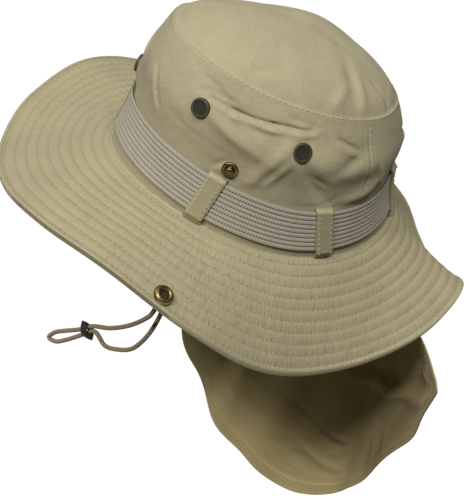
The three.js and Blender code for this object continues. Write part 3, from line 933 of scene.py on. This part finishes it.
def thread_piece(name, sizes, runs):
    """Rows of stitches: each run is its points and its outward directions along the seam"""
    body, faces = stitch_body(sizes)
    places = []
    frames = []
    for points, outs in runs:
        steps = np.linalg.norm(np.diff(points, axis=0), axis=1)
        travel = np.concatenate([[0], np.cumsum(steps)])
        count = int(travel[-1] / sizes.stitch_pitch)
        at = (np.arange(count) + 0.5) * travel[-1] / max(count, 1)
        middle = np.stack([np.interp(at, travel, points[:, k]) for k in range(3)], -1)
        ahead = np.stack([np.interp(at + 0.0008, travel, points[:, k]) for k in range(3)], -1)
        behind = np.stack([np.interp(at - 0.0008, travel, points[:, k]) for k in range(3)], -1)
        run = unit(ahead - behind)
        out = np.stack([np.interp(at, travel, outs[:, k]) for k in range(3)], -1)
        side = unit(np.cross(out, run))
        out = np.cross(run, side)
        places.append(middle)
        frames.append(np.stack([run, side, out], 1))
    places = np.concatenate(places)
    frames = np.concatenate(frames)
    points = places[:, None, :] + np.einsum("ka,nab->nkb", body, frames)
    offsets = np.arange(len(places)) * len(body)
    mesh = bpy.data.meshes.new(name)
    every = [[i + o for i in face] for o in offsets for face in faces]
    mesh.from_pydata(points.reshape(-1, 3).tolist(), [], every)
    piece = bpy.data.objects.new(name, mesh)
    bpy.context.scene.collection.objects.link(piece)
    mesh.polygons.foreach_set("use_smooth", np.ones(len(mesh.polygons), bool))
    return piece


def run_on(face, u, v, lift, step=1e-3):
    """Points along a stitch row on a face, with the face's outward directions"""
    out = surface_normal(face, u, v, step)
    return face(u, v) + out * lift, out


class HAT_OT_crown(bpy.types.Operator):
    """Sew the crown: its side wall with folds, its puffed tip panel and their topstitching"""

    bl_idname = "hat.crown"
    bl_label = "Crown"

    def execute(self, context):
        hat = shape(context)
        s = hat.s
        colours = context.scene.hat_colours
        look = cotton("khaki cotton", colours.khaki)
        split = 0.72

        def side(turn, section):
            azimuth = azimuth_of(turn)
            rising = np.clip(section / split, 0, 1)
            falling = np.clip((section - split) / (1 - split), 0, 1)
            height = np.where(section <= split, rising, 1 - falling)
            point = hat.crown_point(azimuth, height)
            way = hat.outward(azimuth)
            shoulder = 0.0016 * smoothstep(height, 0.86, 1.04) ** 2
            wall = np.where(section <= split, shoulder, s.cloth_wall + shoulder)
            return point - way * wall[..., None]

        def side_flat(u, v):
            x = (azimuth_of(u)) * hat.DEGREE_MM * MM
            y = np.where(v <= split, v / split, 1 - (v - split) / (1 - split)) * hat.HEIGHT_MM * MM
            return x, y

        wall = ring_piece("crown_wall", 480, 128, side, {"cloth": side_flat})
        finished(smooth(wall), look, "khaki_cloth", "crown_side")

        def tip(azimuth, share):
            rim, middle = hat.tip_frame(azimuth)
            lap = 1 + 0.0045 * smoothstep(share, 0.97, 0.99) - 0.021 * smoothstep(share, 0.8, 1.0)
            point = middle + (rim - middle) * (share * lap)[..., None]
            puff = s.top_puff * (1 - np.clip(share, 0, 1) ** 2.6)
            welt = 0.00025 * bump((share - 0.985) / 0.012) - 0.0003 * bump((share - 0.955) / 0.012)
            welt = welt - 0.0014 * smoothstep(share, 0.86, 0.99) - 0.0011 * smoothstep(share, 0.985, 1.0)
            x = (point[..., 0] - middle[0]) / MM
            y = (point[..., 1] - middle[1]) / MM
            dent = MM * crease_depth(x, y, tip_creases) * (1 - smoothstep(share, 0.9, 0.98))
            point[..., 2] += s.seat_gap + s.cloth_wall + puff + welt - dent
            return point

        def disc(u, v):
            a = 2 * u - 1
            b = 2 * v - 1
            x = a * np.sqrt(1 - b**2 / 2)
            y = b * np.sqrt(1 - a**2 / 2)
            return np.degrees(np.arctan2(x, -y)), np.hypot(x, y)

        def tip_place(u, v):
            return tip(*disc(u, v))

        def tip_flat(u, v):
            azimuth, share = disc(u, v)
            a = np.radians(azimuth)
            return hat.half[0] * 0.82 * share * np.sin(a), -hat.half[1] * 0.82 * share * np.cos(a)

        panel = grid_piece("tip_panel", 150, 150, tip_place, {"cloth": tip_flat})
        with_modifier(panel, "SOLIDIFY", thickness=s.cloth_wall, offset=-1)
        finished(smooth(panel), look, "khaki_cloth", "crown_top")

        turns = np.linspace(-180, 180, 721)
        rings = []
        for share in (0.983,):
            points = tip(turns, np.full_like(turns, share))
            inside = tip(turns, np.full_like(turns, share - 0.01))
            out = unit(np.cross(np.gradient(points, axis=0), inside - points))
            rings.append((points + out * s.thread * 0.55, out))
        side_face = hat.crown_point
        for azimuth in (114.5, -114.5):
            heights = np.linspace(0.42, 0.985, 60)
            rings.append(run_on(side_face, np.full_like(heights, azimuth), heights, s.thread * -0.15))
        thread = sewing("khaki thread", colours.thread)
        seams = thread_piece("crown_topstitching", s, rings)
        finished(seams, thread, "khaki_cloth")
        return {"FINISHED"}


class HAT_OT_brim(bpy.types.Operator):
    """Quilt the drooping brim: stitch rows all round, puffed cloth between them and a rolled edge"""

    bl_idname = "hat.brim"
    bl_label = "Brim"

    def execute(self, context):
        hat = shape(context)
        s = hat.s
        colours = context.scene.hat_colours
        rows = np.concatenate([[QUILT_FIRST], np.linspace(QUILT_SECOND, QUILT_LAST, s.quilt_rows - 1)])
        pitch = rows[2] - rows[1]
        top_part = 0.56

        def puffed(share):
            """How far the cloth stands up between its stitch rows, from 0 to 1"""
            gap = np.abs(share[..., None] - rows).min(-1)
            return np.clip(np.sin(np.pi / 2 * np.clip(gap / (pitch / 2), 0, 1)), 0, 1) ** 0.7

        def upper(azimuth, share):
            point = hat.brim_point(azimuth, share)
            lift = s.quilt_puff * (puffed(share) - 0.6)
            roll = 0.0009 * bump((share - 0.985) / 0.02) - 0.0009 * bump((share - 0.014) / 0.009)
            point[..., 2] += lift + roll
            return point

        def brim_place(turn, section):
            azimuth = azimuth_of(turn)
            on_top = section <= top_part
            share = np.where(on_top, 1 - section / top_part, (section - top_part) / (1 - top_part))
            top = upper(azimuth, share)
            under = hat.brim_point(azimuth, share)
            roll = 0.0006 * bump((share - 0.985) / 0.02)
            under[..., 2] -= s.brim_wall + s.quilt_puff * (puffed(share) - 0.6) * 0.6 + roll
            point = np.where(on_top[..., None], top, under)
            way = hat.outward(azimuth)
            bulge = 0.0007 * bump((share - 1) / 0.03) * np.where(on_top, 0.6, 1.0)
            return point + way * bulge[..., None]

        def brim_flat(u, v):
            a = np.radians(azimuth_of(u))
            share = np.where(v <= top_part, 1 - v / top_part, (v - top_part) / (1 - top_part))
            reach = hat.half.mean() + s.brim_width * share
            return reach * np.sin(a), -reach * np.cos(a)

        def brim_rows(u, v):
            share = np.where(v <= top_part, 1 - v / top_part, (v - top_part) / (1 - top_part))
            return u * 0.82, (share - QUILT_SECOND) / pitch * QUILT_PITCH

        brim = ring_piece("quilted_brim", 560, 168, brim_place, {"cloth": brim_flat, "rows": brim_rows})
        finished(smooth(brim), cotton("quilted khaki cotton", colours.khaki_brim, rows=True, crumple=0.6),
                 "quilted_cloth", "brim")

        turns = np.linspace(-180, 180, 1081)
        runs = []
        for share in [*rows, 0.975]:
            at = np.full_like(turns, share)
            out = -surface_normal(hat.brim_point, turns, at)
            runs.append((upper(turns, at) + out * s.thread * 0.35, out))
        thread = sewing("brim thread", [c * 0.72 for c in colours.thread])
        stitches = thread_piece("brim_stitches", s, runs)
        finished(stitches, thread, "quilted_cloth")
        runs = []
        for share in [*rows[1:], 0.975]:
            at = np.full_like(turns, share)
            out = surface_normal(hat.brim_point, turns, at)
            low = hat.brim_point(turns, at)
            low[..., 2] -= s.brim_wall - s.quilt_puff * 0.3
            runs.append((low + out * s.thread * 0.3, out))
        under = thread_piece("brim_under_stitches", s, runs)
        finished(under, thread, "quilted_cloth")
        return {"FINISHED"}


class HAT_OT_band(bpy.types.Operator):
    """Lay the ribbed webbing round the crown and hold it in its belt loops"""

    bl_idname = "hat.band"
    bl_label = "Band and loops"

    def execute(self, context):
        hat = shape(context)
        s = hat.s
        colours = context.scene.hat_colours
        face_part = 0.9

        def band_point(azimuth, share, offset):
            rise = hat.band_foot(azimuth) + s.band_height * share
            point = hat.crown_point(azimuth, hat.crown_share(azimuth, rise))
            point[..., 2] = hat.base_rise(azimuth) + rise
            return point + hat.outward(azimuth) * np.asarray(offset)[..., None]

        def band_place(turn, section):
            azimuth = azimuth_of(turn)
            on_face = section <= face_part
            share = np.where(on_face, section / face_part, 1 - (section - face_part) / (1 - face_part))
            rib = np.abs(np.sin(np.pi * BAND_RIBS * share)) ** 0.6
            front = s.cloth_gap + s.band_wall - 0.0005 + 0.0006 * rib
            return band_point(azimuth, share, np.where(on_face, front, s.cloth_gap * 0.5))

        def band_flat(u, v):
            share = np.where(v <= face_part, v / face_part, 1 - (v - face_part) / (1 - face_part))
            return azimuth_of(u) * hat.DEGREE_MM * MM, share * s.band_height

        band = ring_piece("ribbed_band", 420, 120, band_place, {"cloth": band_flat})
        finished(smooth(band, 75), ribbed("grey-beige webbing", colours.webbing), "webbing", "hat_band")

        loop_look = cotton("belt loop cotton", colours.khaki_loop, crumple=0.3)
        thread = sewing("loop thread", [min(c * 1.12, 1) for c in colours.thread])
        span = math.degrees(s.loop_width / ((s.head_length + s.head_width) / 4))
        for number, (foot, head) in enumerate(loop_table, 1):

            def strap(u, v, lift=0.0):
                azimuth = foot + (head - foot) * v + (u - 0.5) * span
                low = hat.band_foot(azimuth) - s.cloth_gap
                high = hat.band_foot(azimuth) + s.band_height + s.cloth_gap
                over = smoothstep(v, 0.0, 0.1) * (1 - smoothstep(v, 0.9, 1.0))
                reach = (v - 0.09) / 0.82
                rise = low + (high - low) * reach
                rise = np.where(v > 0.91, high + (v - 0.91) / 0.09 * s.loop_overhang, rise)
                rise = np.where(v < 0.09, low - (0.09 - v) / 0.09 * 0.004, rise)
                rise = np.maximum(rise, s.cloth_gap)
                point = hat.crown_point(azimuth, hat.crown_share(azimuth, rise))
                point[..., 2] = hat.base_rise(azimuth) + rise
                edge = 0.0003 * smoothstep(np.abs(u - 0.5), 0.36, 0.44)
                out = s.cloth_gap + over * (s.cloth_gap + s.band_wall) + s.loop_wall - edge + lift
                return point + hat.outward(azimuth) * out[..., None]

            def strap_flat(u, v):
                return u * s.loop_width, v * s.band_height * 1.2

            loop = grid_piece(f"webbing_loop_{number}", 28, 72, strap, {"cloth": strap_flat})
            with_modifier(loop, "SOLIDIFY", thickness=s.loop_wall, offset=-1)
            along = np.linspace(0.04, 0.96, 60)
            runs = []
            for share in (0.14, 0.86):
                at = np.full_like(along, share)
                out = hat.outward(foot + (head - foot) * along)
                runs.append((strap(at, along, s.thread * 0.3), out))
            edges = thread_piece(f"loop_stitches_{number}", s, runs)
            finished(smooth(loop), loop_look, "loop_cloth", f"belt_loop_{number}")
            finished(edges, thread, "loop_cloth")
        return {"FINISHED"}


class HAT_OT_fittings(bpy.types.Operator):
    """Set the mesh vents, the crown stud and the brim snap"""

    bl_idname = "hat.fittings"
    bl_label = "Vents, stud and snap"

    def seat(self, face, azimuth, share, down=False):
        """Place and directions of a fitting on a face"""
        at = np.array([float(azimuth)])
        level = np.array([float(share)])
        out = surface_normal(face, at, level, 1e-2)[0] * (-1 if down else 1)
        place = face(at, level)[0]
        across = unit(np.cross([0, 0, 1.0], out))
        up = np.cross(out, across)
        return Vector(place), Vector(across), Vector(up), Vector(out)

    def execute(self, context):
        hat = shape(context)
        s = hat.s
        colours = context.scene.hat_colours
        rubbed_bronze = [min(c * 2.2, 1) for c in colours.bronze]
        rubbed_brass = [min(c * 2.0, 1) for c in colours.brass]
        bronze = worn_metal("bronzed vent metal", colours.bronze, rubbed_bronze, 0.55, 0.35)
        brass = worn_metal("antique brass", colours.brass, rubbed_brass, 0.34, 0.95)
        radius = s.eyelet_width / 2
        rise = s.eyelet_wall

        def coarse(azimuth, height):
            return hat.crown_point(azimuth, height, fine=False)

        for number, (azimuth, height) in enumerate(eyelet_table, 1):
            ring = turned_piece(
                f"vent_ring_{number}",
                [
                    (radius * 0.96, -0.001),
                    (radius, rise * 0.25),
                    (radius * 0.98, rise * 0.6),
                    (radius * 0.9, rise * 0.92),
                    (radius * 0.82, rise),
                    (radius * 0.74, rise * 0.88),
                    (radius * 0.7, rise * 0.4),
                    (radius * 0.5, rise * 0.3),
                    (radius * 0.1, rise * 0.28),
                ],
                48,
            )
            begin()
            bpy.ops.mesh.primitive_grid_add(x_subdivisions=10, y_subdivisions=10, size=radius * 1.5)
            wires = bpy.context.object
            bpy.ops.object.mode_set(mode="EDIT")
            bpy.ops.transform.rotate(value=math.radians(35), orient_axis="Z", center_override=(0, 0, 0))
            bpy.ops.object.mode_set(mode="OBJECT")
            points = corners(wires)
            far = np.hypot(points[:, 0], points[:, 1])
            points[:, :2] *= np.minimum(1, radius * 0.74 / np.maximum(far, 1e-9))[:, None]
            points[:, 2] = rise * (0.62 + 0.12 * (1 - (far / radius) ** 2))
            moved(wires, points)
            with_modifier(wires, "WIREFRAME", thickness=0.00034, use_even_offset=False)
            vent = joined_pieces(f"vent_{number}", [ring, wires])
            place, across, up, out = self.seat(coarse, azimuth, height)
            set_at(vent, place, across, up, out)
            finished(smooth(vent, 50), bronze, "dark_bronze", f"eyelet_{number}")

        stud_rise = hat.band_foot(STUD_AZIMUTH) + s.band_height + STUD_LIFT
        r = s.stud_width / 2
        h = s.stud_rise
        stud = turned_piece(
            "stud",
            [
                (r * 0.96, -0.001),
                (r, h * 0.1),
                (r * 0.94, h * 0.26),
                (r * 0.8, h * 0.34),
                (r * 0.62, h * 0.3),
                (r * 0.48, h * 0.22),
                (r * 0.4, h * 0.3),
                (r * 0.36, h * 0.55),
                (r * 0.46, h * 0.7),
                (r * 0.5, h * 0.82),
                (r * 0.44, h * 0.93),
                (r * 0.28, h * 0.99),
                (r * 0.05, h),
            ],
            48,
        )
        place, across, up, out = self.seat(coarse, STUD_AZIMUTH, hat.crown_share(STUD_AZIMUTH, stud_rise))
        set_at(stud, place + out * 0.0003, across, up, out)
        dark = [c * 0.45 for c in colours.brass]
        stud_look = worn_metal("dark brass", dark, colours.brass, 0.34, 0.95)
        finished(smooth(stud, 50), stud_look, "antique_brass", "crown_stud")

        r = s.snap_width / 2
        h = s.snap_rise
        snap = turned_piece(
            "snap_cap",
            [
                (r * 0.94, -0.001),
                (r, h * 0.12),
                (r * 0.98, h * 0.4),
                (r * 0.9, h * 0.72),
                (r * 0.78, h * 0.94),
                (r * 0.66, h),
                (r * 0.55, h * 0.93),
                (r * 0.46, h * 0.72),
                (r * 0.42, h * 0.3),
                (r * 0.4, h * 0.12),
                (r * 0.36, -h * 0.1),
                (r * 0.02, -h * 0.14),
            ],
            56,
        )
        share = 1 - s.snap_inset / s.brim_width
        place, across, up, out = self.seat(hat.brim_point, SNAP_AZIMUTH, share, down=True)
        set_at(snap, place + out * 0.0004, across, up, out)
        finished(smooth(snap, 50), brass, "antique_brass", "brim_snap")
        # Painted shade: a near-black disc inside the snap's centre stands for the shade in its hole
        hole = turned_piece("snap_hole_shade", [(r * 0.39, h * 0.24), (r * 0.2, h * 0.2), (r * 0.02, h * 0.2)], 40)
        set_at(hole, place + out * 0.0004, across, up, out)
        hole_shade_colour = [c * 0.12 for c in colours.brass]
        hole_shade_rubbed = [c * 0.3 for c in colours.brass]
        shade = worn_metal("snap hole shade", hole_shade_colour, hole_shade_rubbed, 0.6, 0.4)
        finished(smooth(hole, 50), shade, "antique_brass")
        return {"FINISHED"}


def measured_cloth(place):
    """The flat size of hung cloth, as its widest girth and longest fall, and the area of its surface"""
    run = np.linspace(0, 1, CLOTH_STATIONS)
    across, along = np.meshgrid(run, run)
    cloth = place(across.ravel(), along.ravel()).reshape(CLOTH_STATIONS, CLOTH_STATIONS, 3)
    one = cloth[1:, 1:] - cloth[:-1, :-1]
    two = cloth[1:, :-1] - cloth[:-1, 1:]
    area = float(np.linalg.norm(np.cross(one, two), axis=-1).sum() / 2)
    falls = np.linalg.norm(np.diff(cloth, axis=0), axis=-1).cumsum(axis=0)
    falls = np.vstack([np.zeros(CLOTH_STATIONS), falls])
    longest = float(falls[-1].max())
    girths = []
    for fallen in np.linspace(0, longest * GIRTH_REACH, CLOTH_STATIONS):
        reached = [k for k in range(CLOTH_STATIONS) if falls[-1, k] >= fallen]
        line = [[np.interp(fallen, falls[:, k], cloth[:, k, axis]) for axis in range(3)] for k in reached]
        girths.append(float(np.linalg.norm(np.diff(np.array(line), axis=0), axis=-1).sum()))
    return (max(girths), longest), area


class HAT_OT_flap(bpy.types.Operator):
    """Hang the curved neck flap with its turned hems under the back of the brim"""

    bl_idname = "hat.flap"
    bl_label = "Neck flap"

    def execute(self, context):
        hat = shape(context)
        s = hat.s
        colours = context.scene.hat_colours
        across, down = 150, 196

        def bare(u, v):
            return hat.flap_point(u, v)

        def hem_share(u, v):
            """1 on the turned hems, 0 on the single cloth"""
            length = np.linalg.norm(bare(u, np.ones_like(v)) - bare(u, np.zeros_like(v)), axis=-1)
            foot = smoothstep(v * length, length - s.foot_hem - 0.0008, length - s.foot_hem + 0.0008)
            side = s.side_hem / 0.21
            near = 1 - smoothstep(u, side - 0.004, side + 0.004)
            far = smoothstep(u, 1 - side - 0.004, 1 - side + 0.004)
            return np.maximum(foot, np.maximum(near, far))

        def place(u, v):
            point = bare(u, v)
            out = surface_normal(bare, u, v, 4e-3)
            thick = 0.0006 * hem_share(u, v)
            pressed = MM * crease_depth(u * FLAP_BREADTH_MM, v * FLAP_DROP_MM, flap_creases)
            pressed = pressed * smoothstep(v, 0.12, 0.3) * (1 - 0.8 * smoothstep(v, 0.8, 0.98))
            return point + out * (s.flap_wall - 0.0003 + thick + pressed)[..., None]

        def flat(u, v):
            return (u - 0.5) * 0.26, v * s.flap_length

        flap = grid_piece("hanging_flap", across, down, place, {"cloth": flat})
        with_modifier(flap, "SOLIDIFY", thickness=s.flap_wall - 0.0002, offset=-1)
        flap_look = cotton("flap cotton", colours.khaki_flap, crumple=1.3)
        finished(smooth(flap), flap_look, "flap_cloth", "neck_flap")

        along = np.linspace(0.004, 0.996, 260)
        runs = []

        def both(u, v):
            out = surface_normal(bare, u, v, 4e-3)
            point = place(u, v)
            runs.append((point + out * 0.0002, out))
            runs.append((point - out * (s.flap_wall - 0.0001), -out))

        length = np.linalg.norm(bare(along, np.ones_like(along)) - bare(along, np.zeros_like(along)), axis=-1)
        both(along, 1 - s.foot_hem / length)
        both(along, 1 - 0.0025 / length)
        side = s.side_hem / 0.21
        fall = np.linspace(0.02, 0.99, 200)
        for u in (side, 1 - side):
            both(np.full_like(fall, u), fall)
        thread = sewing("flap thread", colours.thread)
        stitches = thread_piece("flap_stitches", s, runs)
        finished(stitches, thread, "flap_cloth")

        flat_size, area = measured_cloth(place)
        return {"FINISHED"}


class HAT_OT_cord(bpy.types.Operator):
    """Run the chin cord through its toggle and back under the head opening"""

    bl_idname = "hat.cord"
    bl_label = "Chin cord"

    def execute(self, context):
        s = context.scene.hat_sizes
        colours = context.scene.hat_colours
        route = np.array(cord_route, float) * MM
        steps = 420
        line = smooth_route(route, steps)
        travel = np.concatenate([[0], np.cumsum(np.linalg.norm(np.diff(line, axis=0), axis=1))])
        even = np.linspace(0, travel[-1], steps + 1)
        line = np.stack([np.interp(even, travel, line[:, k]) for k in range(3)], -1)
        run = unit(np.gradient(line, axis=0))
        side = np.zeros_like(run)
        side[0] = unit(np.cross(run[0], [0, 0, 1.0]))
        for i in range(1, len(run)):
            side[i] = unit(side[i - 1] - run[i] * (side[i - 1] @ run[i]))
        top = np.cross(run, side)
        radius = s.cord_thickness / 2
        around = 16

        def tube(u, v):
            i = np.clip(np.round(v * steps).astype(int), 0, steps)
            a = u * 2 * np.pi
            return line[i] + radius * (np.cos(a)[:, None] * side[i] + np.sin(a)[:, None] * top[i])

        def tube_flat(u, v):
            return u * math.pi * s.cord_thickness, v * travel[-1]

        cord = grid_piece("round_cord", around, steps, tube, {"cloth": tube_flat})
        begin()
        cord.select_set(True)
        bpy.context.view_layer.objects.active = cord
        bpy.ops.object.mode_set(mode="EDIT")
        bpy.ops.mesh.select_all(action="SELECT")
        bpy.ops.mesh.remove_doubles(threshold=0.00002)
        bpy.ops.mesh.select_all(action="DESELECT")
        bpy.ops.mesh.select_non_manifold()
        bpy.ops.mesh.fill()
        bpy.ops.mesh.select_all(action="SELECT")
        bpy.ops.mesh.normals_make_consistent(inside=False)
        bpy.ops.object.mode_set(mode="OBJECT")
        finished(smooth(cord), braided("braided cotton cord", colours.cord), "cotton_cord", "chin_cord")

        begin()
        bpy.ops.mesh.primitive_uv_sphere_add(segments=40, ring_count=28, radius=1)
        toggle = bpy.context.object
        toggle.name = "toggle"
        points = corners(toggle)
        long = points[:, 2]
        radial = np.hypot(points[:, 0], points[:, 1])
        belly = (1 - np.abs(long) ** 1.5) ** 0.9
        shrink = s.toggle_width / 2 * belly / np.maximum(radial, 1e-9)
        points = np.stack([points[:, 0] * shrink, points[:, 1] * shrink, long * s.toggle_length / 2], -1)
        moved(toggle, points)
        begin()
        half = s.cord_thickness / 2 + s.seat_gap * 0.4
        bpy.ops.mesh.primitive_cube_add(size=1)
        slot = bpy.context.object
        points = corners(slot)
        moved(slot, points * np.array([s.toggle_width * 2, s.strand_pitch + 2 * half, 2 * half]))
        with_modifier(slot, "BEVEL", width=half * 0.98, segments=6, limit_method="ANGLE")
        with_modifier(toggle, "BOOLEAN", object=slot, operation="DIFFERENCE", solver="EXACT")
        bpy.data.objects.remove(slot)
        across = toggle_stand.cross(toggle_run)
        turn = Matrix((toggle_run, across, toggle_stand)).transposed().to_4x4()
        toggle.data.transform(Matrix.Translation(toggle_place) @ turn)
        finished(smooth(toggle, 45), moulded("toggle horn", colours.toggle), "dark_toggle", "cord_toggle")
        return {"FINISHED"}


def smooth_route(points, steps):
    """A centripetal curve through points"""
    points = np.concatenate([[2 * points[0] - points[1]], points, [2 * points[-1] - points[-2]]])
    knots = np.concatenate([[0], np.cumsum(np.linalg.norm(np.diff(points, axis=0), axis=1) ** 0.5)])
    at = np.linspace(knots[1], knots[-2], steps + 1)
    out = np.zeros((len(at), 3))
    for n, t in enumerate(at):
        i = min(max(np.searchsorted(knots, t, side="right") - 1, 1), len(knots) - 3)
        t0, t1, t2, t3 = knots[i - 1 : i + 3]
        p0, p1, p2, p3 = points[i - 1 : i + 3]
        a1 = (t1 - t) / (t1 - t0) * p0 + (t - t0) / (t1 - t0) * p1
        a2 = (t2 - t) / (t2 - t1) * p1 + (t - t1) / (t2 - t1) * p2
        a3 = (t3 - t) / (t3 - t2) * p2 + (t - t2) / (t3 - t2) * p3
        b1 = (t2 - t) / (t2 - t0) * a1 + (t - t0) / (t2 - t0) * a2
        b2 = (t3 - t) / (t3 - t1) * a2 + (t - t1) / (t3 - t1) * a3
        out[n] = (t2 - t) / (t2 - t1) * b1 + (t - t1) / (t2 - t1) * b2
    return out


class HAT_OT_stage(bpy.types.Operator):
    """Set the pale floor, the soft lights and the camera"""

    bl_idname = "hat.stage"
    bl_label = "Stage"

    def sun(self, name, azimuth, rise, strength, spread):
        """Light that comes from an azimuth and a rise in degrees, softened over a spread"""
        a, e = math.radians(azimuth), math.radians(rise)
        way = Vector((math.sin(a) * math.cos(e), -math.cos(a) * math.cos(e), math.sin(e)))
        data = bpy.data.lights.new(name, "SUN")
        data.energy = strength
        data.angle = math.radians(spread)
        lamp = bpy.data.objects.new(name, data)
        bpy.context.scene.collection.objects.link(lamp)
        lamp.location = way * 2
        lamp.rotation_mode = "QUATERNION"
        lamp.rotation_quaternion = way.to_track_quat("Z", "Y")

    def execute(self, context):
        colours = context.scene.hat_colours
        begin()
        floor_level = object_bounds()[0].z - FLOOR_DROP
        middle = (0, 0, floor_level)
        bpy.ops.mesh.primitive_grid_add(x_subdivisions=8, y_subdivisions=8, size=24, location=middle)
        floor = context.object
        floor.name = "floor"
        bpy.ops.object.transform_apply(location=True, rotation=False, scale=False)
        floor.data.materials.append(studio("pale floor", colours.floor))
        floor.visible_diffuse = False
        floor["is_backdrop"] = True

        world = context.scene.world or bpy.data.worlds.new("studio")
        context.scene.world = world
        world.use_nodes = True
        sky = world.node_tree.nodes.get("Background")
        sky.inputs[0].default_value = (1, 0.87, 0.6, 1)
        sky.inputs[1].default_value = SKY_STRENGTH

        camera_data = bpy.data.cameras.new("camera")
        camera = bpy.data.objects.new("camera", camera_data)
        context.scene.collection.objects.link(camera)
        context.scene.camera = camera
        azimuth, elevation, roll = (math.radians(a) for a in CAMERA_TURN)
        level = math.cos(elevation)
        back = Vector((math.sin(azimuth) * level, -math.cos(azimuth) * level, math.sin(elevation)))
        camera.location = CAMERA_PLACE
        aim = (-back).to_track_quat("-Z", "Y")
        camera.rotation_mode = "QUATERNION"
        camera.rotation_quaternion = aim @ Matrix.Rotation(roll, 3, "Z").to_quaternion()
        camera_data.sensor_width = 36
        camera_data.lens = CAMERA_FOCUS / 500 * 36
        camera_data.clip_start = 0.01

        for name, azimuth, rise, strength, spread in SUNS:
            self.sun(name, azimuth, rise, strength, spread)
        context.scene.view_settings.view_transform = "Standard"
        return {"FINISHED"}


class HAT_PT_panel(bpy.types.Panel):
    """Makes each part of the hat from the sidebar"""

    bl_idname = "HAT_PT_panel"
    bl_label = "Sun hat"
    bl_space_type = "VIEW_3D"
    bl_region_type = "UI"
    bl_category = "Sun hat"

    def draw(self, context):
        for operator in operators:
            self.layout.operator(operator.bl_idname)
        for group in (context.scene.hat_sizes, context.scene.hat_colours):
            for name in group.bl_rna.properties.keys():
                if name not in ("rna_type", "name"):
                    self.layout.prop(group, name)


operators = (
    HAT_OT_cord,
    HAT_OT_crown,
    HAT_OT_brim,
    HAT_OT_band,
    HAT_OT_fittings,
    HAT_OT_flap,
    HAT_OT_stage,
)
classes = (HatSizes, HatColours, *operators, HAT_PT_panel)


def register():
    for item in classes:
        bpy.utils.register_class(item)
    bpy.types.Scene.hat_sizes = PointerProperty(type=HatSizes)
    bpy.types.Scene.hat_colours = PointerProperty(type=HatColours)


def unregister():
    del bpy.types.Scene.hat_sizes
    del bpy.types.Scene.hat_colours
    for item in reversed(classes):
        bpy.utils.unregister_class(item)


def main():
    register()
    bpy.ops.hat.cord()
    bpy.ops.hat.crown()
    bpy.ops.hat.brim()
    bpy.ops.hat.band()
    bpy.ops.hat.fittings()
    bpy.ops.hat.flap()
    bpy.ops.hat.stage()


if __name__ == "__main__":
    main()
